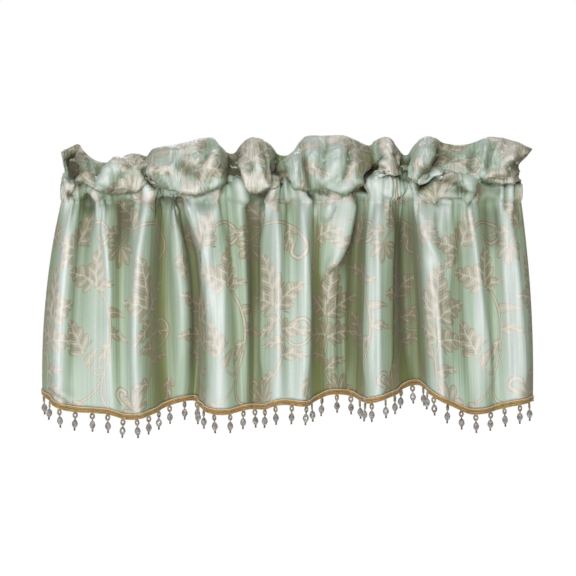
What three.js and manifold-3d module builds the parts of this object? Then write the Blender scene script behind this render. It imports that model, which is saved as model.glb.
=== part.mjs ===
// A scalloped rod-pocket valance: one gathered cloth with a ruffled heading,
// a pocket round an empty rod channel, a skirt in uneven folds, and a braid
// with glass drops along the scalloped hem. Millimetres, +Z up, front to -Y.
// The origin is on the axis of the rod channel, at half the width.
import * as THREE from 'three';
import { mergeVertices } from 'three/addons/utils/BufferGeometryUtils.js';
import Module from 'manifold-3d';

// Driving dimensions
const sheetThickness = 1.5;      // cloth, drawn a little thick
const flatWidth = 1270;          // cut width before it is gathered
const seamHeight = 13;           // pocket seams above and below the channel axis
const channelRadius = 11.5;      // mid-thickness of the pocket wall where it lies on the rod
const bellyDepth = 5;            // how far a slack pocket wall stands out past its seams
const wallRounding = 7;          // softens the change between slack and tight pocket wall
const wallCorner = 2;            // how far the pocket wall draws in where it turns to a seam
const seamGap = 0.3;             // cloth edge to braid
const braidHeight = 8;
const braidThickness = 2;
const dropCount = 44;
const dropLean = 0.05;           // uneven hang of the drops, as a slope
const stationPitch = 12;         // spacing of the modelled sections along the flat width

// The fold tables give places across and up as they show from straight ahead,
// in units of sightUnit at the channel, and depth in millimetres.
const sightUnit = 1.44;
const sightDistance = 2200;
const sightCentre = { across: 288, down: 288 };
const originAt = { across: 287, down: 192 };

// One row for each fold line of the skirt, left to right.
// Across and depth at the pocket seam, at the middle and at the hem, the
// height of the hem, and how far down the seam's own depth carries (0 to 1).
const skirtColumns = ['seamX', 'seamY', 'midX', 'midY', 'hemX', 'hemY', 'hemZ', 'carry'];
const skirtRows = [
  [62, 2, 47.5, 8, 42, 14, 389, 0.14],
  [67, -16, 55, -18, 49, -14, 395, 0.07],
  [77, -8, 66, -28, 60, -30, 404, 0.07],
  [89, 3, 80, -16, 77, -22, 407, 0.2],
  [98, -20, 96, -26, 96, -24, 408, 0.07],
  [110, -8, 110, -32, 111, -34, 410, 0.07],
  [125, 2, 122, -16, 123, -24, 414, 0.2],
  [141, -20, 137, -38, 137, -38, 414.3, 0.07],
  [156, -10, 151, -16, 152, -16, 409.3, 0.07],
  [166, 4, 163, 20, 167, 14, 401.4, 0.14],
  [174, -4, 185, 8, 184, 16, 396.3, 0.14],
  [180, 4, 196, 26, 195, 28, 395.8, 0.12],
  [190, -20, 207, -30, 205, -24, 406, 0.07],
  [206, -8, 216, -36, 217, -38, 409.8, 0.07],
  [216, -20, 226, -30, 229, -34, 409.3, 0.07],
  [228, -2, 236, -14, 240, -20, 406.3, 0.14],
  [238, -18, 245, -22, 247, -18, 404.5, 0.07],
  [252, 4, 254, 8, 255, -2, 404, 0.2],
  [267, -18, 265, -24, 265, -24, 404.3, 0.07],
  [280, -10, 279, -38, 279, -38, 400, 0.07],
  [290, 0, 291, -28, 292, -34, 400.2, 0.18],
  [303, -20, 305, -38, 304, -36, 401.6, 0.07],
  [316, -10, 314, -10, 313, -6, 397.7, 0.3],
  [330, -18, 323, 8, 324, 12, 391.3, 0.3],
  [345, -20, 333, 10, 334, 14, 389.4, 0.32],
  [357, 0, 350, 26, 350, 28, 390.8, 0.22],
  [362, 4, 361, 20, 360, 16, 395, 0.14],
  [373, -18, 368, -28, 368, -26, 398.5, 0.07],
  [386, -16, 381, -38, 381, -38, 395.8, 0.07],
  [395, -2, 393, -6, 394, -12, 390.3, 0.14],
  [403, 4, 405, 28, 409, 20, 380.7, 0.12],
  [411, 0, 415, 22, 420, 24, 380.4, 0.12],
  [419, -18, 424, -28, 430, -24, 389, 0.07],
  [434, -8, 438, -38, 442, -38, 397, 0.07],
  [447, -20, 449, -28, 453, -32, 401.5, 0.07],
  [460, -10, 464, -14, 468, -24, 408.8, 0.07],
  [472, -18, 479, -26, 483, -22, 408.9, 0.07],
  [488, 4, 492, -8, 496, -8, 405, 0.2],
  [504, -18, 507, -24, 510, -18, 401.7, 0.07],
  [512, -4, 520, -22, 521, -22, 399.8, 0.14],
  [521, 4, 530, 0, 532.5, 6, 396, 0.14],
];

// The same fold lines through the heading: the upper pocket seam's lift above
// seamHeight and how far the ruffle sags below that seam, in millimetres, then
// the shoulder and the top edge of the ruffle.
const headingColumns = ['lift', 'sag', 'shoulderX', 'shoulderY', 'shoulderZ', 'topX', 'topY', 'topZ'];
const headingRows = [
  [0, -14, 65, 0, 168, 62, -4, 152],
  [0, -14, 69, 2, 168, 69, 10, 148.3],
  [0, -18, 77, 10, 167, 77, 6, 144.7],
  [0, -8, 87, -20, 170, 84, -14, 151],
  [0, 12, 98, -30, 184, 98, 12, 161.5],
  [0, 17, 113, -34, 176, 117, -8, 160.5],
  [0, 14, 128, -34, 172, 130, -18, 154.4],
  [0, 12, 138, -32, 170, 138, -8, 154.3],
  [0, -8, 149, -12, 168, 146, 10, 156.4],
  [0, -8, 155, -6, 167, 150, 10, 152.5],
  [0, 6, 150, -34, 168, 155, -4, 148.5],
  [0, 10, 168, -44, 166, 172, -16, 146],
  [0, 12, 190, -46, 165, 192, -20, 141],
  [0, 12, 207, -44, 163, 205, -10, 138],
  [0, 8, 222, -32, 164, 214, 6, 139],
  [0, -10, 231, -6, 168, 222, 18, 149],
  [0, -4, 238, -14, 170, 231, 12, 154],
  [0, 8, 246, -34, 166, 245, -12, 140.6],
  [0, 11, 261, -38, 164, 258, -18, 138.3],
  [0, 6, 274, -28, 166, 270, -6, 144.5],
  [0, -10, 283, 2, 172, 280, 16, 155],
  [0, 4, 291, -34, 167, 291, 8, 154],
  [0, 12, 304, -42, 163, 305, -14, 137],
  [0, 10, 324, -40, 164, 322, -20, 135.8],
  [0, 14, 344, -42, 162, 342, -16, 135.5],
  [0, 6, 361, -30, 165, 356, -6, 140.5],
  [2, -8, 373, -4, 166, 368, 10, 145.8],
  [6, -8, 379, -4, 164, 376, 4, 140.5],
  [9, -2, 390, -16, 160, 388, -12, 137.2],
  [10, -2, 399, -10, 163, 397, 4, 148],
  [8, -8, 407, -8, 167, 406, 14, 154],
  [4, -4, 413, -14, 166, 414, 6, 146],
  [2, 6, 420, -30, 160, 424, -12, 137.3],
  [6, 0, 433, -32, 158, 434, -16, 137.8],
  [11, -6, 442, -12, 160, 444, 0, 143],
  [12, -4, 456, -16, 161, 456, 6, 145.3],
  [8, -4, 471, -22, 162, 470, 0, 144],
  [0, -4, 487, -22, 162, 488, -12, 137.4],
  [0, 2, 502, -28, 162, 503, -14, 138.3],
  [0, 0, 512, -22, 161, 519, -10, 143.5],
  [0, -6, 519, -6, 168, 532, 4, 149.2],
];

// Rows down the sheet: shares of the skirt below the seam, of the pocket
// between its seams and of the ruffle above it.
const skirtDrops = [1, 0.87, 0.73, 0.59, 0.45, 0.33, 0.23, 0.15, 0.08, 0.035, 0];
const middleDrop = 0.447;
const pocketSteps = [
  { inset: wallCorner, up: 0.1 },
  { inset: 0, up: 0.5 },
  { inset: wallCorner, up: 0.9 },
];
const ruffleSteps = [0.13, 0.26, 0.4, 0.54, 0.69, 0.84, 1];
const sagReach = 0.75;           // how far out towards the shoulder the ruffle sags
const foldOverSag = [-8, 4];     // sags between which the ruffle starts to fold over the pocket
const foldOverRise = 8;          // its rise over the seam, its lip and its depth past the wall
const foldOverLip = 1;
const foldOverDepth = 7;

// Profile of one drop, downwards from its root in the braid: the thread loop,
// the neck, the glass drop and the small bead at its tip.
const dropProfile = [
  { down: -1, radius: 0.9 },
  { down: 4, radius: 2.6 },
  { down: 8.5, radius: 0.9 },
  { down: 15, radius: 4.1 },
  { down: 21, radius: 1.2 },
  { down: 23, radius: 1.5 },
  { down: 25, radius: 0.8 },
];
const dropSides = 4;

const clothFinish = new THREE.MeshStandardMaterial({
  color: '#a9c0ab', roughness: 0.38, metalness: 0, side: THREE.DoubleSide,
});
const braidFinish = new THREE.MeshStandardMaterial({ color: '#b8975d', roughness: 0.6, metalness: 0 });

// A point seen at a place across and down, at the given depth
function sightPoint(across, down, depth) {
  const spread = 1 + depth / sightDistance;
  return new THREE.Vector3(
    (sightCentre.across - originAt.across + (across - sightCentre.across) * spread) * sightUnit,
    depth,
    (originAt.down - sightCentre.down + (sightCentre.down - down) * spread) * sightUnit,
  );
}

function namedRows(columns, rows) {
  return rows.map((row) => Object.fromEntries(columns.map((column, i) => [column, row[i]])));
}

const skirt = namedRows(skirtColumns, skirtRows);
const heading = namedRows(headingColumns, headingRows);

// Flat position of each fold line, from the length of the hem between them
function flatPositions() {
  const hem = skirt.map((row) => sightPoint(row.hemX, row.hemZ, row.hemY));
  const along = [0];
  for (let i = 1; i < hem.length; i += 1) {
    along.push(along[i - 1] + hem[i].distanceTo(hem[i - 1]));
  }
  return along.map((value) => (value * flatWidth) / along[along.length - 1]);
}

const flatAt = flatPositions();

// A round fold through the fold lines: each tangent follows the neighbours and
// runs at the pace of the chords beside it, so crests stay broad.
function foldCurve(points) {
  const last = points.length - 1;
  const tangents = points.map((point, i) => {
    const before = points[Math.max(i - 1, 0)];
    const after = points[Math.min(i + 1, last)];
    const span = flatAt[Math.min(i + 1, last)] - flatAt[Math.max(i - 1, 0)];
    const pace = (point.distanceTo(before) + after.distanceTo(point)) / span;
    return after.clone().sub(before).normalize().multiplyScalar(pace);
  });
  return (station) => {
    const { line, share } = station;
    const reach = flatAt[line + 1] - flatAt[line];
    const s2 = share * share;
    const s3 = s2 * share;
    return points[line].clone().multiplyScalar(2 * s3 - 3 * s2 + 1)
      .addScaledVector(tangents[line], (s3 - 2 * s2 + share) * reach)
      .addScaledVector(points[line + 1], 3 * s2 - 2 * s3)
      .addScaledVector(tangents[line + 1], (s3 - s2) * reach);
  };
}

// Sections along the flat width: each gap between fold lines in equal steps
function makeStations() {
  const stations = [];
  for (let line = 0; line < flatAt.length - 1; line += 1) {
    const steps = Math.max(2, Math.round((flatAt[line + 1] - flatAt[line]) / stationPitch));
    for (let step = 0; step < steps; step += 1) {
      stations.push({ line, share: step / steps });
    }
  }
  stations.push({ line: flatAt.length - 2, share: 1 });
  return stations;
}

const stations = makeStations();

// A skirt row at a share of the drop from the seam (0) to the hem (1)
function skirtRow(drop) {
  const points = skirt.map((row) => {
    const toMiddle = drop / middleDrop;
    const across = row.seamX * (1 - toMiddle) * (1 - drop)
      + (row.midX * drop * (1 - drop)) / (middleDrop * (1 - middleDrop))
      + (row.hemX * drop * (drop - middleDrop)) / (1 - middleDrop);
    const hung = row.midY + (row.hemY - row.midY) * drop * drop;
    const kept = Math.exp(-((drop / row.carry) ** 1.3));
    const seamDown = originAt.down + seamHeight / sightUnit;
    return sightPoint(
      across,
      seamDown + (row.hemZ - seamDown) * drop,
      hung + (row.seamY - hung) * kept,
    );
  });
  return foldCurve(points);
}

// Depth of the pocket wall where it stands out most, in front or behind
function wallDepth(seamY, side) {
  const slack = side * seamY + bellyDepth;
  return side * 0.5 * (slack + channelRadius + Math.hypot(slack - channelRadius, wallRounding));
}

// A pocket row, in front of the channel (side -1) or behind it (side 1)
function pocketRow(step, side) {
  const lower = skirtRow(0);
  const upper = upperSeam();
  return (station) => {
    const low = lower(station);
    const high = upper(station);
    const point = low.clone().lerp(high, step.up);
    point.y = wallDepth(point.y, side) - side * step.inset;
    return point;
  };
}

function upperSeam() {
  const points = skirt.map((row, i) => {
    const up = (seamHeight + heading[i].lift) / sightUnit;
    return sightPoint(row.seamX, originAt.down - up, row.seamY);
  });
  return foldCurve(points);
}

// A row of the ruffle: a curve from the upper seam, over the pocket's front
// wall, down to the sag, up through the shoulder and on to the top edge
function ruffleRow(share) {
  const seam = upperSeam();
  const sagOf = foldCurve(heading.map((row) => new THREE.Vector3(row.sag, 0, 0)));
  const shoulder = foldCurve(heading.map((row) => sightPoint(row.shoulderX, row.shoulderZ, row.shoulderY)));
  const top = foldCurve(heading.map((row) => sightPoint(row.topX, row.topZ, row.topY)));
  return (station) => {
    const start = seam(station);
    const through = shoulder(station);
    const sag = sagOf(station).x;
    const wall = wallDepth(start.y, -1);
    const folded = THREE.MathUtils.smoothstep(sag, ...foldOverSag);
    const hang = start.clone().lerp(through, sagReach);
    hang.z = start.z - sag;
    hang.y += (Math.min(hang.y, wall - foldOverDepth) - hang.y) * folded;
    const over = start.clone().lerp(hang, 0.4);
    over.y += (wall - foldOverLip - over.y) * folded;
    over.z += (start.z + foldOverRise - over.z) * folded;
    return new THREE.CatmullRomCurve3([start, over, hang, through, top(station)]).getPoint(share);
  };
}

// Grids of mid-thickness points, grid[row][station], from the hem upwards
function sampleRows(rows) {
  return rows.map((row) => stations.map((station) => row(station)));
}

const frontRows = sampleRows([
  ...skirtDrops.map((drop) => skirtRow(drop)),
  ...pocketSteps.map((step) => pocketRow(step, -1)),
  upperSeam(),
  ...ruffleSteps.map((share) => ruffleRow(share)),
]);
const lowSeamRow = skirtDrops.length - 1;
const highSeamRow = lowSeamRow + pocketSteps.length + 1;

const backRows = sampleRows([
  skirtRow(0),
  ...pocketSteps.map((step) => pocketRow(step, 1)),
  upperSeam(),
]);

// Unit normal of a grid towards the front at each point
function gridNormals(grid) {
  const lastRow = grid.length - 1;
  const lastStation = stations.length - 1;
  return grid.map((row, r) => row.map((point, s) => {
    const sideways = row[Math.min(s + 1, lastStation)].clone().sub(row[Math.max(s - 1, 0)]);
    const upwards = grid[Math.min(r + 1, lastRow)][s].clone().sub(grid[Math.max(r - 1, 0)][s]);
    return sideways.cross(upwards).normalize();
  }));
}

// Moves each point of a grid along its normal
function offsetGrid(grid, normals, distance) {
  return grid.map((row, r) => row.map((point, s) => point.clone().addScaledVector(normals[r][s], distance)));
}

// Collects points and quads, and returns a closed BufferGeometry
class Skin {
  constructor() {
    this.positions = [];
    this.faces = [];
  }

  addRow(points) {
    const first = this.positions.length / 3;
    points.forEach((point) => this.positions.push(point.x, point.y, point.z));
    return points.map((point, i) => first + i);
  }

  quad(a, b, c, d) {
    this.faces.push(a, b, c, a, c, d);
  }

  // A band between two rows of indices
  band(lower, upper) {
    for (let i = 0; i < lower.length - 1; i += 1) {
      this.quad(lower[i], lower[i + 1], upper[i + 1], upper[i]);
    }
  }

  geometry() {
    const geometry = new THREE.BufferGeometry();
    geometry.setAttribute('position', new THREE.Float32BufferAttribute(this.positions, 3));
    geometry.setIndex(this.faces);
    geometry.computeVertexNormals();
    return geometry;
  }
}

// The cloth: front skin, back skin, channel skin, and the closed ends
function makeCloth() {
  const half = sheetThickness / 2;
  const frontNormals = gridNormals(frontRows);
  const backNormals = gridNormals(backRows);
  const skin = new Skin();
  const front = offsetGrid(frontRows, frontNormals, half).map((row) => skin.addRow(row));
  const behind = offsetGrid(frontRows, frontNormals, -half);
  const pocketBehind = offsetGrid(backRows, backNormals, -half);
  const back = behind.map((row, r) => {
    const inPocket = r > lowSeamRow && r < highSeamRow;
    return skin.addRow(inPocket ? pocketBehind[r - lowSeamRow] : row);
  });
  const channelFront = offsetGrid(frontRows, frontNormals, -half);
  const channelBack = offsetGrid(backRows, backNormals, half);
  const raise = new THREE.Vector3(0, 0, 0.6 * sheetThickness);
  const floorRow = skin.addRow(frontRows[lowSeamRow].map((point) => point.clone().add(raise)));
  const roofRow = skin.addRow(frontRows[highSeamRow].map((point) => point.clone().sub(raise)));
  const wallFront = [floorRow];
  const wallBack = [floorRow];
  for (let r = lowSeamRow + 1; r < highSeamRow; r += 1) {
    wallFront.push(skin.addRow(channelFront[r]));
    wallBack.push(skin.addRow(channelBack[r - lowSeamRow]));
  }
  wallFront.push(roofRow);
  wallBack.push(roofRow);

  for (let r = 0; r < front.length - 1; r += 1) {
    skin.band(front[r], front[r + 1]);
    skin.band(back[r + 1], back[r]);
  }
  skin.band(back[0], front[0]);
  skin.band(front[front.length - 1], back[back.length - 1]);
  for (let r = 0; r < wallFront.length - 1; r += 1) {
    skin.band(wallFront[r + 1], wallFront[r]);
    skin.band(wallBack[r], wallBack[r + 1]);
  }
  closeEnd(skin, front, back, wallFront, wallBack, 0, false);
  closeEnd(skin, front, back, wallFront, wallBack, stations.length - 1, true);
  return skin.geometry();
}

// One end of the cloth: its thickness, split round the open channel
function closeEnd(skin, front, back, wallFront, wallBack, at, flipped) {
  const face = (...corners) => {
    const ring = flipped ? corners.reverse() : corners;
    for (let i = 1; i < ring.length - 1; i += 1) {
      skin.faces.push(ring[0], ring[i], ring[i + 1]);
    }
  };
  for (let r = 0; r < front.length - 1; r += 1) {
    if (r < lowSeamRow || r >= highSeamRow) {
      face(front[r][at], front[r + 1][at], back[r + 1][at], back[r][at]);
    }
  }
  for (let i = 0; i < wallFront.length - 1; i += 1) {
    const r = lowSeamRow + i;
    face(front[r][at], front[r + 1][at], wallFront[i + 1][at], wallFront[i][at]);
    face(wallBack[i][at], wallBack[i + 1][at], back[r + 1][at], back[r][at]);
  }
  face(front[lowSeamRow][at], wallFront[0][at], back[lowSeamRow][at]);
  const roof = wallFront[wallFront.length - 1][at];
  face(front[highSeamRow][at], back[highSeamRow][at], roof);
}

// The braid hangs edge to edge under the cloth, parted from it by seamGap
function makeBraidStrip() {
  const normals = gridNormals(frontRows)[0];
  const half = braidThickness / 2;
  const corner = (depth, out) => frontRows[0].map((point, s) => {
    const down = point.clone().sub(frontRows[1][s]).normalize();
    return point.clone().addScaledVector(down, depth).addScaledVector(normals[s], out);
  });
  const skin = new Skin();
  const foot = seamGap + braidHeight;
  const ring = [
    skin.addRow(corner(foot, half)),
    skin.addRow(corner(seamGap, half)),
    skin.addRow(corner(seamGap, -half)),
    skin.addRow(corner(foot, -half)),
  ];
  ring.forEach((row, i) => skin.band(row, ring[(i + 1) % ring.length]));
  const last = stations.length - 1;
  skin.quad(ring[0][0], ring[1][0], ring[2][0], ring[3][0]);
  skin.quad(ring[3][last], ring[2][last], ring[1][last], ring[0][last]);
  return { geometry: skin.geometry(), foot: corner(foot, 0) };
}

// One drop, a four-sided turned form closed at both ends
function makeDropShape() {
  const outline = [new THREE.Vector2(0, -dropProfile[dropProfile.length - 1].down)];
  [...dropProfile].reverse().forEach((ring) => outline.push(new THREE.Vector2(ring.radius, -ring.down)));
  outline.push(new THREE.Vector2(0, -dropProfile[0].down));
  return new THREE.LatheGeometry(outline, dropSides).rotateX(Math.PI / 2);
}

function toSolid(wasm, geometry) {
  const bare = geometry.clone();
  bare.deleteAttribute('normal');
  bare.deleteAttribute('uv');
  const merged = mergeVertices(bare, 1e-4);
  return new wasm.Manifold(new wasm.Mesh({
    numProp: 3,
    vertProperties: new Float32Array(merged.attributes.position.array),
    triVerts: new Uint32Array(merged.index.array),
  }));
}

function fromSolid(solid) {
  const mesh = solid.getMesh();
  const geometry = new THREE.BufferGeometry();
  geometry.setAttribute('position', new THREE.Float32BufferAttribute(mesh.vertProperties, 3));
  geometry.setIndex(new THREE.Uint32BufferAttribute(mesh.triVerts, 1));
  geometry.computeVertexNormals();
  return geometry;
}

// Braid and drops in one piece, each drop's root sunk into the braid's foot
async function makeBeadedBraid() {
  const wasm = await Module();
  wasm.setup();
  const strip = makeBraidStrip();
  const foot = new THREE.CatmullRomCurve3(strip.foot);
  foot.arcLengthDivisions = 2000;
  let solid = toSolid(wasm, strip.geometry);
  for (let i = 0; i < dropCount; i += 1) {
    const root = foot.getPointAt((i + 0.5) / dropCount);
    const heading = foot.getTangentAt((i + 0.5) / dropCount);
    const shape = makeDropShape();
    shape.rotateZ(Math.atan2(heading.y, heading.x) + Math.PI / dropSides);
    const lean = new THREE.Matrix4().makeShear(0, 0, 0, 0, dropLean * Math.sin(i * 2.4), dropLean * Math.cos(i * 3.7));
    shape.applyMatrix4(lean);
    shape.translate(root.x, root.y, root.z);
    solid = solid.add(toSolid(wasm, shape));
  }
  return fromSolid(solid);
}

const cloth = new THREE.Mesh(makeCloth(), clothFinish);
cloth.name = 'valance_cloth';
const braid = new THREE.Mesh(await makeBeadedBraid(), braidFinish);
braid.name = 'beaded_braid';

const group = new THREE.Group();
group.add(cloth, braid);

export default group;
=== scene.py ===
import bpy
import math
import numpy as np
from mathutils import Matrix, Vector, noise
from mathutils.kdtree import KDTree


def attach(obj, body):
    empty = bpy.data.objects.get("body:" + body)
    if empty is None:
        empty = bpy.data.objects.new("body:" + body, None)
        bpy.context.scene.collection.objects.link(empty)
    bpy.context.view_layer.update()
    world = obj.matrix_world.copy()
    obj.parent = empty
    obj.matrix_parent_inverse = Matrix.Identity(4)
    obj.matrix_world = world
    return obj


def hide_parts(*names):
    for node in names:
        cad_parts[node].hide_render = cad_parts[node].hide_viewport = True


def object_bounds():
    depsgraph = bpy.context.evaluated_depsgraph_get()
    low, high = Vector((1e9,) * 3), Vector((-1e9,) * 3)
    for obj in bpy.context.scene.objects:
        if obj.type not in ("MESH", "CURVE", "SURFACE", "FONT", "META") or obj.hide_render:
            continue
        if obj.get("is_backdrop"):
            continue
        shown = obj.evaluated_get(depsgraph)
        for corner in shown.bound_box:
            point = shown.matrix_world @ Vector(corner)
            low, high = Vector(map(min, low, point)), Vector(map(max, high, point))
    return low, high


# A scalloped valance: one satin jacquard panel gathered on an empty rod pocket, with a ruffled
# heading, and a gold braid with glass drops along the hem.
# Sizes are in millimetres up to the moment when a mesh is written in metres.

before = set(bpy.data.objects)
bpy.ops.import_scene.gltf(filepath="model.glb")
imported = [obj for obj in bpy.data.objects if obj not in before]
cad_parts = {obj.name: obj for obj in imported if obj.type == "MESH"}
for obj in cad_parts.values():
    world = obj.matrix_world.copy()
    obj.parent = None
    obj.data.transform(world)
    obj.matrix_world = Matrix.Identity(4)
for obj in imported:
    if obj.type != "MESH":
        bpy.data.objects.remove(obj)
cadBox = [list(corner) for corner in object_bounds()]
millimetre = 0.001
print("frame loaded")

# Places across and up are given as they show from straight ahead, in units of 1.44 mm
sight = {"unit": 1.44, "distance": 2200, "centre": (288, 288), "origin": (287, 192)}

clothSizes = {
    "flatWidth": 1270, "cutHeight": 520, "thickness": 0.7, "layerGap": 1.5, "topRise": 0.6,
    "seamHeight": 13, "middleDrop": 0.447, "carryPower": 1.3,
    # the pocket: its walls' radius, slack and roundness, and how far they keep from the rod
    "channelRadius": 11.5, "bellyDepth": 5, "wallRounding": 7,
    "pocketSquareness": 4, "pocketRoundness": 0.6,
    "rodClear": 9.6, "rodClearEase": 5, "rodClearFrom": (8.5, 13),
    # rows and columns of the sheet
    "columnPitch": 3.42, "skirtRows": 58, "pocketRows": 7, "ruffleRows": 34,
}

# One row for each fold line, from left to right
skirtColumns = ["seamX", "seamY", "midX", "midY", "hemX", "hemY", "hemZ", "carry"]
skirtRows = [
    [62, 2, 47.5, 8, 42, 14, 389, 0.14],
    [67, -16, 55, -18, 49, -14, 395, 0.07],
    [77, -8, 66, -28, 60, -30, 404, 0.07],
    [89, 3, 80, -16, 77, -22, 407, 0.2],
    [98, -20, 96, -26, 96, -24, 408, 0.07],
    [110, -8, 110, -32, 111, -34, 410, 0.07],
    [125, 2, 122, -16, 123, -24, 414, 0.2],
    [141, -20, 137, -38, 137, -38, 414.3, 0.07],
    [156, -10, 151, -16, 152, -16, 409.3, 0.07],
    [166, 4, 163, 20, 167, 14, 401.4, 0.14],
    [174, -4, 185, 8, 184, 16, 396.3, 0.14],
    [180, 4, 196, 26, 195, 28, 395.8, 0.12],
    [190, -20, 207, -30, 205, -24, 406, 0.07],
    [206, -8, 216, -36, 217, -38, 409.8, 0.07],
    [216, -20, 226, -30, 229, -34, 409.3, 0.07],
    [228, -2, 236, -14, 240, -20, 406.3, 0.14],
    [238, -18, 245, -22, 247, -18, 404.5, 0.07],
    [252, 4, 254, 8, 255, -2, 404, 0.2],
    [267, -18, 265, -24, 265, -24, 404.3, 0.07],
    [280, -10, 279, -38, 279, -38, 400, 0.07],
    [290, 0, 291, -28, 292, -34, 400.2, 0.18],
    [303, -20, 305, -38, 304, -36, 401.6, 0.07],
    [316, -10, 314, -10, 313, -6, 397.7, 0.3],
    [330, -18, 323, 8, 324, 12, 391.3, 0.3],
    [345, -20, 333, 10, 334, 14, 389.4, 0.32],
    [357, 0, 350, 26, 350, 28, 390.8, 0.22],
    [362, 4, 361, 20, 360, 16, 395, 0.14],
    [373, -18, 368, -28, 368, -26, 398.5, 0.07],
    [386, -16, 381, -38, 381, -38, 395.8, 0.07],
    [395, -2, 393, -6, 394, -12, 390.3, 0.14],
    [403, 4, 405, 28, 409, 20, 380.7, 0.12],
    [411, 0, 415, 22, 420, 24, 380.4, 0.12],
    [419, -18, 424, -28, 430, -24, 389, 0.07],
    [434, -8, 438, -38, 442, -38, 397, 0.07],
    [447, -20, 449, -28, 453, -32, 401.5, 0.07],
    [460, -10, 464, -14, 468, -24, 408.8, 0.07],
    [472, -18, 479, -26, 483, -22, 408.9, 0.07],
    [488, 4, 492, -8, 496, -8, 405, 0.2],
    [504, -18, 507, -24, 510, -18, 401.7, 0.07],
    [512, -4, 520, -22, 521, -22, 399.8, 0.14],
    [521, 4, 530, 0, 532.5, 6, 396, 0.14],
]
headingColumns = ["lift", "sag", "shoulderX", "shoulderY", "shoulderZ", "topX", "topY", "topZ"]
headingRows = [
    [0, -14, 65, 0, 168, 62, -4, 152],
    [0, -14, 69, 2, 168, 69, 10, 148.3],
    [0, -18, 77, 10, 167, 77, 6, 144.7],
    [0, -8, 87, -20, 170, 84, -14, 151],
    [0, 12, 98, -30, 184, 98, 12, 161.5],
    [0, 17, 113, -34, 176, 117, -8, 160.5],
    [0, 14, 128, -34, 172, 130, -18, 154.4],
    [0, 12, 138, -32, 170, 138, -8, 154.3],
    [0, -8, 149, -12, 168, 146, 10, 156.4],
    [0, -8, 155, -6, 167, 150, 10, 152.5],
    [0, 6, 150, -34, 168, 155, -4, 148.5],
    [0, 10, 168, -44, 166, 172, -16, 146],
    [0, 12, 190, -46, 165, 192, -20, 141],
    [0, 12, 207, -44, 163, 205, -10, 138],
    [0, 8, 222, -32, 164, 214, 6, 139],
    [0, -10, 231, -6, 168, 222, 18, 149],
    [0, -4, 238, -14, 170, 231, 12, 154],
    [0, 8, 246, -34, 166, 245, -12, 140.6],
    [0, 11, 261, -38, 164, 258, -18, 138.3],
    [0, 6, 274, -28, 166, 270, -6, 144.5],
    [0, -10, 283, 2, 172, 280, 16, 155],
    [0, 4, 291, -34, 167, 291, 8, 154],
    [0, 12, 304, -42, 163, 305, -14, 137],
    [0, 10, 324, -40, 164, 322, -20, 135.8],
    [0, 14, 344, -42, 162, 342, -16, 135.5],
    [0, 6, 361, -30, 165, 356, -6, 140.5],
    [2, -8, 373, -4, 166, 368, 10, 145.8],
    [6, -8, 379, -4, 164, 376, 4, 140.5],
    [9, -2, 390, -16, 160, 388, -12, 137.2],
    [10, -2, 399, -10, 163, 397, 4, 148],
    [8, -8, 407, -8, 167, 406, 14, 154],
    [4, -4, 413, -14, 166, 414, 6, 146],
    [2, 6, 420, -30, 160, 424, -12, 137.3],
    [6, 0, 433, -32, 158, 434, -16, 137.8],
    [11, -6, 442, -12, 160, 444, 0, 143],
    [12, -4, 456, -16, 161, 456, 6, 145.3],
    [8, -4, 471, -22, 162, 470, 0, 144],
    [0, -4, 487, -22, 162, 488, -12, 137.4],
    [0, 2, 502, -28, 162, 503, -14, 138.3],
    [0, 0, 512, -22, 161, 519, -10, 143.5],
    [0, -6, 519, -6, 168, 532, 4, 149.2],
]


def namedColumns(names, rows):
    return dict(zip(names, np.array(rows, float).T))


skirt = namedColumns(skirtColumns, skirtRows)
heading = namedColumns(headingColumns, headingRows)


centreAcross, centreDown = sight["centre"]
originAcross, originDown = sight["origin"]


def sightPoint(across, down, depth):
    spread = 1 + depth / sight["distance"]
    x = (centreAcross - originAcross + (across - centreAcross) * spread) * sight["unit"]
    z = (originDown - centreDown + (centreDown - down) * spread) * sight["unit"]
    return np.stack([x, depth + 0 * x, z], -1)


def sightPlace(points):
    # the opposite of sightPoint: where points in millimetres show
    spread = 1 + points[..., 1] / sight["distance"]
    across = (points[..., 0] / sight["unit"] - centreAcross + originAcross) / spread + centreAcross
    down = centreDown - (points[..., 2] / sight["unit"] - originDown + centreDown) / spread
    return np.stack([across, down], -1)


def lengthOf(vectors):
    return np.linalg.norm(vectors, axis=-1)


def unitOf(vectors):
    return vectors / np.maximum(lengthOf(vectors), 1e-9)[..., None]


def runLength(points):
    # the length along a line, or along each column of a grid, up to each point
    steps = lengthOf(np.diff(points, axis=0))
    return np.cumsum(np.concatenate([0 * steps[:1], steps]), axis=0)


def smoothStep(value, low, high):
    share = np.clip((value - low) / (high - low), 0, 1)
    return share * share * (3 - 2 * share)


def bell(value, width):
    return np.exp(-((value / width) ** 2))


def curveBetween(start, end, startPull, endPull, share):
    s2, s3 = share ** 2, share ** 3
    return (start * (2 * s3 - 3 * s2 + 1) + startPull * (s3 - 2 * s2 + share)
            + end * (3 * s2 - 2 * s3) + endPull * (s3 - s2))


# Flat position of each fold line, from the length of hem between them
flatAt = runLength(sightPoint(skirt["hemX"], skirt["hemZ"], skirt["hemY"]))
flatAt *= clothSizes["flatWidth"] / flatAt[-1]


def makeColumns():
    lines, shares = [], []
    for line, width in enumerate(np.diff(flatAt)):
        steps = max(3, round(width / clothSizes["columnPitch"]))
        lines += [line] * steps
        shares += [step / steps for step in range(steps)]
    return np.array(lines + [len(flatAt) - 2]), np.array(shares + [1.0])


columnLine, columnShare = makeColumns()
columnFlat = flatAt[columnLine] + columnShare * (flatAt[columnLine + 1] - flatAt[columnLine])


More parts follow.
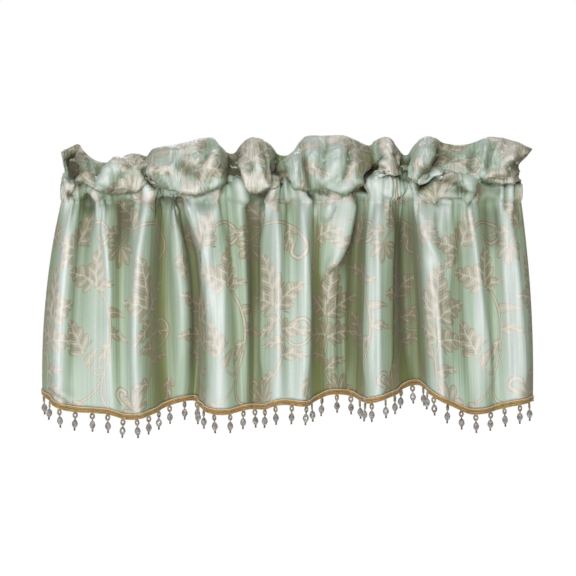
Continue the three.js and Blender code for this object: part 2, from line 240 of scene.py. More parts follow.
def foldCurve(points):
    # each tangent follows the neighbours at the pace of the chords beside it
    here = np.arange(len(points))
    before, after = np.maximum(here - 1, 0), np.minimum(here + 1, len(points) - 1)
    span = flatAt[after] - flatAt[before]
    pace = (lengthOf(points - points[before]) + lengthOf(points[after] - points)) / span
    tangents = unitOf(points[after] - points[before]) * pace[:, None]
    line, following = columnLine, columnLine + 1
    reach = (flatAt[following] - flatAt[line])[:, None]
    return curveBetween(points[line], points[following], tangents[line] * reach,
                        tangents[following] * reach, columnShare[:, None])


def skirtRow(drop):
    middle = clothSizes["middleDrop"]
    across = (skirt["seamX"] * (1 - drop / middle) * (1 - drop)
              + skirt["midX"] * drop * (1 - drop) / (middle * (1 - middle))
              + skirt["hemX"] * drop * (drop - middle) / (1 - middle))
    hung = skirt["midY"] + (skirt["hemY"] - skirt["midY"]) * drop ** 2
    kept = np.exp(-((drop / skirt["carry"]) ** clothSizes["carryPower"]))
    seamDown = originDown + clothSizes["seamHeight"] / sight["unit"]
    down = seamDown + (skirt["hemZ"] - seamDown) * drop
    return foldCurve(sightPoint(across, down, hung + (skirt["seamY"] - hung) * kept))


def upperSeam():
    up = (clothSizes["seamHeight"] + heading["lift"]) / sight["unit"]
    return foldCurve(sightPoint(skirt["seamX"], originDown - up, skirt["seamY"]))


def wallDepth(seamY, side):
    slack = side * seamY + clothSizes["bellyDepth"]
    radius = clothSizes["channelRadius"]
    return side * 0.5 * (slack + radius + np.hypot(slack - radius, clothSizes["wallRounding"]))


def pocketRow(share, side):
    # the wall rounds in towards both seams
    row = skirtRow(0) * (1 - share) + upperSeam() * share
    bulge = (1 - abs(2 * share - 1) ** clothSizes["pocketSquareness"]) ** clothSizes["pocketRoundness"]
    row[:, 1] += (wallDepth(row[:, 1], side) - row[:, 1]) * bulge
    return row


ruffleSizes = {
    "sagReach": 0.75, "overReach": 0.4,
    "foldOverSag": (-8, 4), "foldOverRise": 8, "foldOverLip": 1, "foldOverDepth": 7,
}


def ruffleKnots():
    # from the upper seam, over the pocket's front wall, down to the sag, up through the
    # shoulder and on to the top edge
    sizes = ruffleSizes
    seam = upperSeam()
    zero = 0 * heading["sag"]
    sag = foldCurve(np.stack([heading["sag"], zero, zero], -1))[:, 0]
    shoulder, top = (foldCurve(sightPoint(heading[part + "X"], heading[part + "Z"], heading[part + "Y"]))
                     for part in ("shoulder", "top"))
    wall = wallDepth(seam[:, 1], -1)
    folded = smoothStep(sag, *sizes["foldOverSag"])
    hang = seam + (shoulder - seam) * sizes["sagReach"]
    hang[:, 2] = seam[:, 2] - sag
    hang[:, 1] += (np.minimum(hang[:, 1], wall - sizes["foldOverDepth"]) - hang[:, 1]) * folded
    over = seam + (hang - seam) * sizes["overReach"]
    over[:, 1] += (wall - sizes["foldOverLip"] - over[:, 1]) * folded
    over[:, 2] += (seam[:, 2] + sizes["foldOverRise"] - over[:, 2]) * folded
    return [seam, over, hang, shoulder, top]


def curveThrough(knots, share):
    # a centripetal curve, the same number of steps between each two knots
    last = len(knots) - 1
    at = min(int(share * last), last - 1)
    p1, p2 = knots[at], knots[at + 1]
    p0 = knots[at - 1] if at > 0 else 2 * p1 - p2
    p3 = knots[at + 2] if at + 2 <= last else 2 * p2 - p1
    d0, d1, d2 = (np.maximum(np.sqrt(lengthOf(b - a)), 1e-3)[:, None]
                  for a, b in ((p0, p1), (p1, p2), (p2, p3)))
    t1 = ((p1 - p0) / d0 - (p2 - p0) / (d0 + d1) + (p2 - p1) / d1) * d1
    t2 = ((p2 - p1) / d1 - (p3 - p1) / (d1 + d2) + (p3 - p2) / d2) * d1
    return curveBetween(p1, p2, t1, t2, share * last - at)


def makeFront():
    # the front of the sheet from the hem up to the top edge, and the zone of each row
    knots = ruffleKnots()
    pocketShares = np.linspace(0, 1, clothSizes["pocketRows"] + 2)[1:-1]
    ruffleShares = np.linspace(0, 1, clothSizes["ruffleRows"] + 1)
    parts = {
        "skirt": [skirtRow(drop) for drop in np.linspace(1, 0, clothSizes["skirtRows"])],
        "pocket": [pocketRow(share, -1) for share in pocketShares],
        "ruffle": [curveThrough(knots, share) for share in ruffleShares],
    }
    zones = [zone for zone, rows in parts.items() for _ in rows]
    return np.concatenate(list(parts.values())), zones


def sheetNormals(grid):
    # unit normals towards the front
    return unitOf(np.cross(np.gradient(grid, axis=1), np.gradient(grid, axis=0)))


def ripple(flat, period, seed):
    # an uneven wave along the flat width
    source = np.random.default_rng(seed)
    return sum(np.sin(2 * np.pi * flat / (period * share) + source.uniform(0, 2 * np.pi))
               for share in (0.78, 1.0, 1.27)) / 3


gatherSizes = {
    "pleatPeriod": 19, "pleatHeight": 3.3, "pleatBelow": 34, "pleatAbove": 16, "pocketShare": 0.8,
    "foldPeriod": 52, "foldHeight": 2.2, "foldFrom": (8, 60), "driftLength": 290, "ruffleSpan": 60,
    "backPleat": 2.0, "backPleatContrast": 1.6,
}


def gatherHeights(front, zones):
    # small pleats that run out from the pocket's seams, and soft secondary folds in the skirt
    sizes = gatherSizes
    pleats = ripple(columnFlat, sizes["pleatPeriod"], 3)
    folds, drifted = (ripple(columnFlat, sizes["foldPeriod"], seed) for seed in (8, 15))
    rowHeights = front[..., 2].mean(1)
    seamHeight = rowHeights[zones.index("pocket") - 1]
    heights = np.zeros(front.shape[:2])
    for r, zone in enumerate(zones):
        pleatShare, foldShare, drift = sizes["pocketShare"], 0, 0
        if zone == "skirt":
            below = seamHeight - rowHeights[r]
            pleatShare = bell(below, sizes["pleatBelow"])
            foldShare = smoothStep(below, *sizes["foldFrom"])
            drift = below / sizes["driftLength"]
        elif zone == "ruffle":
            above = (r - zones.index("ruffle")) / clothSizes["ruffleRows"] * sizes["ruffleSpan"]
            pleatShare = bell(above, sizes["pleatAbove"])
        heights[r] = (sizes["pleatHeight"] * pleatShare * pleats
                      + sizes["foldHeight"] * foldShare * (folds * (1 - drift) + drifted * drift))
    return heights


# Creases by name: width, lift, push and places, as they show from straight ahead. Width and
# push are in the same units as the places, lift is in millimetres towards the room. Without a
# push it is a rounded ridge or trough. With one it is a lip, which stands up on the right of
# its line, as one goes along it, and hangs over by the push.
creases = {
    # left end of the ruffle: an open hood
    "hoodHollow": (9, -15, 0, [(74, 153), (78, 166), (82, 178)]),
    "hoodLip": (6, 9.5, 2, [(89, 196), (86, 178), (80, 160), (77, 150)]),
    "hoodRidge": (2.5, 9, 0, [(80, 150), (86, 168), (91, 190), (93, 198)]),
    "hoodFoot": (3, -9.5, 0, [(66, 192), (71, 196), (75, 193)]),
    "hoodFootPleat": (2.5, 5.4, 0, [(64, 178), (70, 187), (79, 186)]),
    "hoodShadow": (5, -8, 0, [(84, 190), (88, 202), (89, 214)]),
    "hoodBackPleat": (4, -6.8, 0, [(104, 166), (98, 180)]),
    # the second fold turns down over the pocket
    "flapEdge": (9, 10.5, 3, [(92, 200), (100, 185), (111, 171), (126, 158)]),
    "flapCrest": (4, 4.1, 0, [(128, 156), (124, 172), (132, 188)]),
    "flapPleatA": (2, -4.1, 0, [(118, 172), (116, 188), (122, 200)]),
    "flapPleatB": (2.2, 4.7, 0, [(112, 178), (108, 192), (112, 205)]),
    "flapPleatC": (2.2, -5.4, 0, [(103, 186), (103, 198), (108, 206)]),
    "flapHole": (2.6, -12.2, 0, [(132, 200), (134, 205)]),
    "flapPinch": (2.2, 5.4, 0, [(126, 196), (133, 198), (138, 205)]),
    "lightColumn": (5, 8.1, 0, [(147, 168), (150, 188), (148, 206), (146, 222)]),
    "columnPleat": (2.2, -3, 0, [(139, 190), (140, 200), (141, 214)]),
    "columnPleatRight": (1.8, -5.4, 0, [(155, 186), (157, 200), (156, 216)]),
    # the big puff, its left end curled back into a tube
    "puffCurl": (6, 11, 2, [(144, 160), (147, 174), (157, 189), (161, 196)]),
    "puffSlit": (2.2, -15, 0, [(141, 168), (145, 178), (154, 191)]),
    "puffTube": (2.6, -7, 0, [(153, 170), (161, 180), (171, 189)]),
    "puffTubeSlit": (6, 8, 2, [(151, 164), (161, 175), (174, 188)]),
    "puffFoot": (7, 8.1, 3, [(228, 182), (208, 189), (190, 191), (172, 192), (163, 190)]),
    "puffDent": (7, -6.8, 0, [(176, 160), (192, 172), (204, 176)]),
    "puffCrestA": (4, 5.4, 0, [(160, 150), (180, 152), (204, 144)]),
    "puffCrestB": (4, 5.4, 0, [(208, 150), (218, 166), (216, 180)]),
    "puffFanA": (2.4, -6, 0, [(211, 148), (203, 162), (190, 172)]),
    "puffFanB": (2.2, 6, 0, [(215, 152), (208, 168), (198, 182)]),
    "puffFanC": (2.2, -4.7, 0, [(222, 160), (216, 172), (206, 184)]),
    "puffEdge": (2.2, 4.7, 0, [(214, 142), (224, 156), (229, 170)]),
    "underPuff": (5, -8, 0, [(158, 200), (168, 203), (184, 202)]),
    "underPuffFold": (6, 6, 2, [(183, 208), (190, 201), (206, 193), (226, 187)]),
    # valley and flap between the puffs
    "valleyOne": (5, -13.5, 0, [(233, 152), (233, 168), (236, 180)]),
    "valleyOneFlap": (6, 8, 2, [(227, 175), (238, 180), (246, 187), (248, 205)]),
    "creamFlap": (4, 6.8, 0, [(231, 176), (238, 188), (242, 204)]),
    "puffFourLeft": (5, 8.1, 2, [(250, 190), (246, 174), (240, 158)]),
    "puffFourCrest": (3.5, 5.4, 0, [(252, 140), (256, 160), (262, 176)]),
    "puffFourDent": (2.4, -6.8, 0, [(246, 162), (252, 165), (250, 174)]),
    "puffFourPleat": (2, -4.7, 0, [(262, 146), (268, 162), (266, 180)]),
    "puffFourFoot": (5, 9.5, 3, [(272, 182), (262, 190), (248, 190)]),
    "darkTriangle": (6, -13, 0, [(250, 194), (262, 195), (257, 205)]),
    "triangleFlap": (6, 8.1, 2, [(262, 205), (268, 194), (275, 182), (280, 170)]),
    "valleyTwo": (5, -12.2, 0, [(277, 156), (276, 168), (280, 180)]),
    "valleyTwoFold": (4, 6.8, 2, [(286, 184), (279, 180), (276, 170)]),
    # the third puff, with a finger at its left
    "fingerLip": (6, 11, 2, [(287, 206), (284, 188), (284, 170), (289, 156)]),
    "fingerCrest": (4, 6.8, 0, [(296, 152), (296, 172), (299, 196)]),
    "fingerEdge": (2.4, -11, 0, [(303, 150), (306, 168), (310, 190), (316, 204)]),
    "pouchPleatA": (2.4, -7, 0, [(328, 138), (324, 158), (323, 180)]),
    "pouchPleatB": (3, 5.4, 0, [(318, 142), (314, 162), (318, 182)]),
    "pouchPleatC": (3, 5.4, 0, [(338, 140), (338, 160), (332, 182)]),
    "pouchPleatD": (2.6, -8, 0, [(350, 146), (349, 162), (342, 182)]),
    "starPinch": (2.2, -6, 0, [(318, 191), (332, 193)]),
    "starRayA": (1.8, 5.4, 0, [(324, 190), (321, 168)]),
    "starRayB": (1.8, 5.4, 0, [(328, 191), (346, 185)]),
    "starRayC": (1.8, 5.4, 0, [(320, 193), (306, 203)]),
    "starRayD": (1.8, -4.1, 0, [(329, 186), (338, 174)]),
    "pouchLobe": (8, 9.5, 3, [(363, 178), (357, 185), (346, 190), (336, 200)]),
    "pouchFoot": (9, 6.8, 3, [(336, 203), (331, 213), (327, 222)]),
    "pouchLight": (4, 5.4, 0, [(352, 152), (354, 168), (350, 180)]),
    "gapLine": (3, -19, 0, [(385, 160), (368, 178), (362, 186), (359, 197)]),
    # the fourth puff, a narrow pouch with a deep notch at its top
    "narrowPuffLip": (6, 10, 2, [(362, 192), (368, 178), (380, 165), (387, 157)]),
    "narrowPuffCrest": (4, 6.8, 0, [(382, 142), (388, 156), (386, 172)]),
    "narrowPouch": (6, 8.1, 0, [(392, 178), (392, 190)]),
    "narrowPouchFoot": (6, 6.5, 2, [(409, 184), (403, 193), (395, 198), (387, 197), (381, 190)]),
    "narrowPleat": (1.8, -6.8, 0, [(394, 150), (399, 164), (401, 182)]),
    "notch": (4, -14, 0, [(407, 154), (404, 168), (409, 180)]),
    # the fold puff and the loop
    "foldPuffCrest": (5, 6.8, 0, [(428, 142), (422, 158), (418, 170)]),
    "foldPuffCrease": (4, -17, 0, [(442, 146), (437, 160), (429, 172), (418, 192)]),
    "foldPuffLip": (6, 8.1, 3, [(442, 148), (436, 162), (427, 174), (418, 190)]),
    "loopSlit": (2.2, -14, 0, [(427, 170), (420, 180), (416, 192)]),
    "loopRidge": (2.4, 7, 0, [(412, 164), (413, 182), (415, 194)]),
    # the big pouch at the right
    "rightPouch": (10, 10, 0, [(442, 186), (456, 186), (468, 188)]),
    "rightPouchFoot": (8, 9.5, 3, [(478, 184), (470, 199), (455, 195), (440, 197), (425, 203)]),
    "rightPouchFoldA": (2.4, -9, 0, [(438, 178), (450, 183), (462, 191), (474, 193)]),
    "rightPouchFoldB": (2.6, 9, 0, [(434, 171), (446, 178), (458, 184), (470, 184), (480, 177)]),
    "rightPouchFoldC": (2, -7, 0, [(444, 190), (456, 190), (468, 187)]),
    "headerFanA": (2.4, 8.5, 0, [(488, 139), (485, 156), (480, 172)]),
    "headerFanB": (2.2, 8.5, 0, [(502, 140), (496, 152), (492, 164)]),
    "headerFanC": (2.6, -6.5, 0, [(495, 140), (490, 156), (487, 172)]),
    "headerFanD": (3, -7, 0, [(473, 148), (470, 162), (472, 174)]),
    "headerFanE": (2.4, 5.4, 0, [(512, 146), (508, 160), (503, 176)]),
    "headerFold": (7, 6.8, 2, [(519, 172), (508, 176), (496, 176), (480, 178)]),
    "collarLight": (4, 7, 0, [(452, 174), (466, 178), (480, 175)]),
    "tabShadow": (4, -5, 0, [(479, 189), (489, 190), (499, 189)]),
    "collarTab": (5, 8, 0, [(486, 172), (489, 182)]),
    "gapLineDeep": (5, -12, 0, [(357, 188), (366, 194)]),
    "cornerFold": (8, 9.5, 2, [(527, 149), (514, 158), (499, 168)]),
    "cornerCrest": (2, 6, 0, [(526, 150), (513, 160), (500, 169)]),
    "cornerDark": (5, -5, 0, [(521, 160), (511, 167), (503, 173)]),
    "thirdValley": (4, -5, 0, [(440, 146), (448, 154), (453, 160)]),
    "rightPocketHollow": (8, -4, 0, [(480, 191), (492, 192), (500, 191)]),
    "rightPleatA": (2, -6.8, 0, [(506, 172), (506, 190), (505, 212)]),
    "rightPleatB": (2, 5.4, 0, [(511, 172), (511, 190), (511, 214)]),
    # the skirt
    "leftCrest": (4, 3.5, 0, [(68, 206), (60, 290), (55, 340), (57, 386)]),
    "leftTrough": (5, -3, 0, [(84, 212), (78, 290), (74, 372)]),
    "secondCrest": (2.6, 3, 0, [(99, 210), (106, 250), (110, 290), (108, 340)]),
    "vTrough": (5, -6, 0, [(124, 204), (124, 226), (120, 250)]),
    "vTroughLeft": (2.4, 3, 0, [(113, 206), (117, 228), (121, 250)]),
    "strongCrest": (3.6, 4.5, 0, [(146, 214), (139, 250), (135, 300), (134, 384)]),
    "crestBeside": (2, 2.2, 0, [(150, 216), (148, 260), (146, 330)]),
    "valleyRidge": (5, 2.6, 0, [(172, 236), (182, 300), (181, 378)]),
    "valleyDark": (4, -3.5, 0, [(194, 240), (196, 300), (194, 380)]),
    "slantRidge": (3, 4, 0, [(186, 205), (195, 228), (205, 256)]),
    "slantTrough": (3, -3.5, 0, [(176, 208), (186, 232), (196, 262)]),
    "middleLeftLip": (5, 4, 1.5, [(199, 386), (202, 300), (205, 220)]),
    "middleCrestA": (2, 3, 0, [(211, 212), (209, 280), (208, 380)]),
    "middleCrestB": (2.2, 3.2, 0, [(226, 214), (224, 290), (223, 384)]),
    "middleCrestC": (2, 2.4, 0, [(242, 214), (246, 300), (245, 380)]),
    "brownValley": (5, -5, 0, [(255, 208), (256, 250), (256, 310)]),
    "middleRightLip": (4, 4, 1.5, [(262, 386), (261, 300), (262, 214)]),
    "middleCrestD": (2.4, 3, 0, [(279, 214), (279, 300), (280, 384)]),
    "middleCrestE": (2, 2.2, 0, [(290, 214), (288, 270), (289, 330)]),
    "narrowCrest": (2.2, 4, 0, [(302, 210), (306, 240), (308, 310), (306, 388)]),
    "swagCrest": (3, 5, 0, [(353, 192), (348, 216), (343, 240), (334, 260), (321, 276)]),
    "swagLip": (9, 5, 2, [(355, 190), (351, 216), (346, 242), (337, 263), (322, 280)]),
    "behindSwagA": (3, 2.6, 0, [(334, 280), (333, 330), (334, 382)]),
    "behindSwagB": (2.4, 2.6, 0, [(345, 266), (344, 320), (345, 380)]),
    "behindSwagDark": (5, -4, 0, [(355, 220), (354, 290), (355, 380)]),
    "fourthLip": (5, 4, 1.5, [(364, 392), (364, 300), (366, 214)]),
    "fourthCrest": (2.4, 3.6, 0, [(377, 206), (379, 280), (379, 392)]),
    "fourthCrestLeft": (1.8, 2.2, 0, [(369, 212), (371, 280), (371, 380)]),
    "fourthRightLip": (5, 3.5, 1, [(395, 206), (391, 260), (391, 384)]),
    "darkValley": (6, -5, 0, [(404, 206), (403, 280), (406, 370)]),
    "fifthLip": (4, 4, 1.5, [(422, 382), (416, 280), (412, 205)]),
    "drapeCrest": (3, 4, 0, [(418, 207), (426, 236), (440, 262)]),
    "drapeTrough": (4, -3.5, 0, [(436, 208), (438, 230), (444, 250)]),
    "fifthCrest": (2.6, 4, 0, [(428, 262), (438, 310), (443, 392)]),
    "fifthEdge": (2.6, 3, 0, [(456, 204), (453, 240), (448, 290), (452, 370)]),
    "fifthTrough": (4, -2.6, 0, [(463, 206), (464, 280), (468, 380)]),
    "sixthCrest": (2.4, 4.5, 0, [(471, 204), (478, 270), (486, 340), (490, 390)]),
    "wedge": (6, -6, 0, [(491, 204), (492, 224), (494, 250)]),
    "seventhCrest": (2.4, 4.5, 0, [(511, 214), (519, 280), (523, 340), (525, 396)]),
    "seventhBeside": (2, 2.4, 0, [(502, 250), (508, 310), (511, 390)]),
    "hemPuckerA": (2, 3, 0, [(46, 380), (60, 392), (76, 400)]),
    "hemPuckerB": (2, -3, 0, [(46, 386), (60, 397), (74, 404)]),
    "hemPuckerC": (2, 2.4, 0, [(120, 392), (132, 402), (142, 412)]),
}

# groove: depth, place beside the line and width, overhang: place and width
lipSizes = {"rise": 0.7, "height": 1.25, "groove": (0.7, -1.4, 1.3), "overhang": (1.2, 1.6)}
creaseSizes = {
    "ends": (0, 0.18), "endShare": 0.25, "facing": (0.05, 0.4), "reach": (3.2, 2),
    # how deep a crease counts as full painted shade, and the painted shade on the undersides of the ruffle
    "fullDepth": 9, "depthPower": 0.4, "underside": (0.1, 0.7), "paintedUndersideShare": 0.75,
}


def evened(field):
    # one light pass over a field of the sheet, both ways
    for _ in range(2):
        wide = np.concatenate([field[:1], field, field[-1:]])
        field = ((wide[:-2] + 2 * wide[1:-1] + wide[2:]) / 4).swapaxes(0, 1)
    return field


def besideLine(line, spots):
    # for each spot: the gap to the line, on which side, the share along it and its right there
    gap, side, along = np.full(len(spots), 1e9), np.zeros(len(spots)), np.zeros(len(spots))
    rightward = np.zeros((len(spots), 2))
    run = runLength(line)
    for start, end, begun in zip(line[:-1], line[1:], run):
        span = end - start
        size = np.hypot(*span)
        share = np.clip((spots - start) @ span / size ** 2, 0, 1)
        offset = spots - start - share[:, None] * span
        right = np.array([-span[1], span[0]]) / size
        closer = lengthOf(offset) < gap
        gap = np.where(closer, lengthOf(offset), gap)
        side = np.where(closer, offset @ right, side)
        along = np.where(closer, (begun + share * size) / run[-1], along)
        rightward = np.where(closer[:, None], right, rightward)
    return gap, side, along, rightward


def creasePush(front, normals):
    # how far the creases move each point of the sheet, and how deep it then lies in one, kept as painted
    # crease shade
    places = sightPlace(front)
    facing = smoothStep(-normals[..., 1], *creaseSizes["facing"])
    moved, paintedShade = np.zeros_like(front), np.zeros(front.shape[:2])
    grooveDepth, grooveAt, grooveWidth = lipSizes["groove"]
    overhangAt, overhangWidth = lipSizes["overhang"]
    widths, margin = creaseSizes["reach"]
    for width, lift, push, points in creases.values():
        line = np.array(points, float)
        reach = widths * width + push + margin
        near = ((places > line.min(0) - reach) & (places < line.max(0) + reach)).all(-1) & (facing > 0)
        gap, side, along, rightward = besideLine(line, places[near])
        ends = smoothStep(along, *creaseSizes["ends"]) * smoothStep(1 - along, *creaseSizes["ends"])
        if push:
            inside = gap < width
            rise = lipSizes["height"] / (1 + np.exp(-np.clip(side / lipSizes["rise"], -30, 30)))
            height = rise * bell(gap, width) * ends
            height -= grooveDepth * bell(side - grooveAt, grooveWidth) * inside * ends
            slide = bell(side - overhangAt, overhangWidth) * inside * ends * push * sight["unit"]
        else:
            height = bell(gap, width) * (creaseSizes["endShare"] + (1 - creaseSizes["endShare"]) * ends)
            slide = 0 * height
        share = facing[near]
        moved[near] += normals[near] * (height * lift * share)[:, None]
        moved[near, 0] -= rightward[:, 0] * slide * share
        moved[near, 2] += rightward[:, 1] * slide * share
        # painted shade, darkest in the deepest creases
        paintedShade[near] = np.maximum(paintedShade[near], -height * lift * share ** creaseSizes["depthPower"])
    return moved, np.clip(paintedShade / creaseSizes["fullDepth"], 0, 1)


crumpleSizes = {
    "across": 26, "up": 17, "height": 6, "seed": 4.7, "flat": 0.35, "levels": ((1, 1.0), (2.1, 0.5)),
    "from": (4, 22), "topEdge": (2, 16), "topShare": 0.25,
}


def crumple(front, zones):
    # sharp-edged hollows over the ruffle, as in cloth that has been pulled together
    sizes = crumpleSizes
    heights = np.zeros(front.shape[:2])
    highRow = zones.index("ruffle")
    up = runLength(front[highRow:]).mean(1)
    for r, height in enumerate(up, highRow):
        topFade = smoothStep(up[-1] - height, *sizes["topEdge"])
        share = smoothStep(height, *sizes["from"]) * (sizes["topShare"] + (1 - sizes["topShare"]) * topFade)
        for c, flat in enumerate(columnFlat):
            spot = Vector((flat / sizes["across"], height / sizes["up"], sizes["seed"]))
            hollows = sum(part * (sizes["flat"] - abs(noise.noise(spot * level)))
                          for level, part in sizes["levels"])
            heights[r, c] = hollows * sizes["height"] * share
    return heights


def smoothAlong(grid, times):
    # evens a grid along its columns, its two ends kept
    for _ in range(times):
        inner = (grid[:, :-2] + 2 * grid[:, 1:-1] + grid[:, 2:]) / 4
        grid = np.concatenate([grid[:, :1], inner, grid[:, -1:]], axis=1)
    return grid


def makeCreasedFront():
    # the front with its gathers, creases and crumples, kept clear of the rod, and painted shade for its
    # creases and the ruffle's undersides
    front, zones = makeFront()
    front = smoothAlong(front, 3)
    normals = sheetNormals(front)
    heights = gatherHeights(front, zones) + crumple(front, zones)
    moved, paintedShade = creasePush(front, normals)
    front = front + (moved + evened(moved)) / 2 + normals * heights[..., None]
    # painted shade on the ruffle's undersides, where the sheet faces down
    undersideShade = smoothStep(-sheetNormals(smoothAlong(front, 2))[..., 2], *creaseSizes["underside"])
    undersideShade *= (np.array(zones) == "ruffle")[:, None]
    paintedShade = np.maximum(paintedShade, undersideShade * creaseSizes["paintedUndersideShare"])
    pocket = np.array(zones) == "pocket"
    ease = clothSizes["rodClearEase"] * smoothStep(np.abs(front[pocket, :, 2]), *clothSizes["rodClearFrom"])
    front[pocket, :, 1] = np.minimum(front[pocket, :, 1], ease - clothSizes["rodClear"])
    return front, zones, paintedShade


def makeClothGrid():
    # one sheet: hem, skirt, low seam, pocket front, high seam, ruffle front, top fold,
    # ruffle back, pocket back, low seam
    front, zones, paintedShade = makeCreasedFront()
    normals = sheetNormals(front)
    gap = clothSizes["layerGap"]
    pleats = ripple(columnFlat, gatherSizes["pleatPeriod"], 21) * gatherSizes["backPleatContrast"]
    topEdge = front[-1] - normals[-1] * gap / 2 + unitOf(front[-1] - front[-2]) * clothSizes["topRise"]
    behind = (front - normals * gap)[:zones.index("ruffle") - 1:-2]
    pocketBack = []
    for share in np.linspace(1, 0, clothSizes["pocketRows"] + 2)[1:-1:2]:
        row = smoothAlong(pocketRow(share, 1)[None], 3)[0]
        row[:, 1] += gatherSizes["backPleat"] * (1 + pleats) * math.sin(math.pi * share) ** 0.5
        pocketBack.append(row)
    lowRow = zones.index("pocket") - 1
    pocketBack.append(front[lowRow] - normals[lowRow] * gap)
    grid = np.concatenate([front, topEdge[None], behind, pocketBack])
    zones += ["fold"] + ["ruffleBack"] * len(behind) + ["pocketBack"] * len(pocketBack)
    paintedShade = np.vstack([paintedShade, np.zeros((len(grid) - len(front), paintedShade.shape[1]))])
    return grid, zones, paintedShade


def cellCorners(grid):
    # what a grid holds at the four corners of each of its faces
    return np.stack([grid[:-1, :-1], grid[:-1, 1:], grid[1:, 1:], grid[1:, :-1]], 2)


def writeGrid(name, grid):
    # a mesh in metres from rows of points, its faces towards the front
    faces = cellCorners(np.arange(grid[..., 0].size).reshape(grid.shape[:2]))
    mesh = bpy.data.meshes.new(name)
    mesh.from_pydata((grid.reshape(-1, 3) * millimetre).tolist(), [], faces.reshape(-1, 4).tolist())
    mesh.update()
    made = bpy.data.objects.new(name, mesh)
    bpy.context.scene.collection.objects.link(made)
    return made


def writeUv(piece, name, flat):
    layer = piece.data.uv_layers.new(name=name)
    layer.data.foreach_set("uv", cellCorners(flat).reshape(-1))


def writeAttribute(piece, name, values, domain="POINT"):
    # a number for each point, or a vector for each corner
    kind, field = ("FLOAT", "value") if domain == "POINT" else ("FLOAT_VECTOR", "vector")
    attribute = piece.data.attributes.new(name, kind, domain)
    attribute.data.foreach_set(field, values.astype(np.float32).reshape(-1))


def select(*pieces):
    # deselects all, then selects these and makes the first one active
    bpy.ops.object.select_all(action="DESELECT")
    for piece in reversed(pieces):
        piece.select_set(True)
        bpy.context.view_layer.objects.active = piece


def joined(*pieces):
    select(*pieces)
    bpy.ops.object.join()
    bpy.ops.object.transform_apply(location=True, rotation=True, scale=True)
    return pieces[0]


def colour(hexValue):
    # an sRGB hex value as linear numbers
    parts = [int(hexValue[i:i + 2], 16) / 255 for i in (1, 3, 5)]
    return [p / 12.92 if p <= 0.04045 else ((p + 0.055) / 1.055) ** 2.4 for p in parts] + [1.0]


mathSigns = {"+": "ADD", "-": "SUBTRACT", "*": "MULTIPLY", "/": "DIVIDE", "^": "POWER",
             "<": "LESS_THAN", ">": "GREATER_THAN", "*+": "MULTIPLY_ADD"}


def nodeAdder(tree):
    # The inputs fill a new node's enabled sockets in turn, named sockets follow. A node or a
    # socket links, anything else is set. A kind that is a sign, or is all in capitals, is an
    # operation of the math node.
    tree.nodes.clear()

    def add(kind, *inputs, sockets=None, **settings):
        kind = mathSigns.get(kind, kind)
        if kind.isupper():
            kind, settings["operation"] = "Math", kind
        node = tree.nodes.new("ShaderNode" + kind)
        for name, value in settings.items():
            setattr(node, name, value)
        enabled = [socket for socket in node.inputs if socket.enabled]
        named = [(node.inputs[name], value) for name, value in (sockets or {}).items()]
        for socket, value in [*zip(enabled, inputs)] + named:
            if isinstance(value, bpy.types.Node):
                value = next(output for output in value.outputs if output.enabled)
            if isinstance(value, bpy.types.NodeSocket):
                tree.links.new(value, socket)
            else:
                socket.default_value = value
        return node

    return add


def newMaterial(name):
    material = bpy.data.materials.new(name)
    material.use_nodes = True
    return material, nodeAdder(material.node_tree)


# The woven pattern, an own drawing of leaf sprays and scrolls, in millimetres of flat cloth.
# One repeat, its origin at the hem; the next repeat up is shifted by half its width.
patternSizes = {
    "repeatWidth": 343, "repeatHeight": 288, "shift": (-22, -8), "layers": 3, "margin": 0.12,
    "leafReach": 1.2, "pathStep": 1.2, "stemReach": 7, "stemMargin": 5, "stemWindow": 5,
}

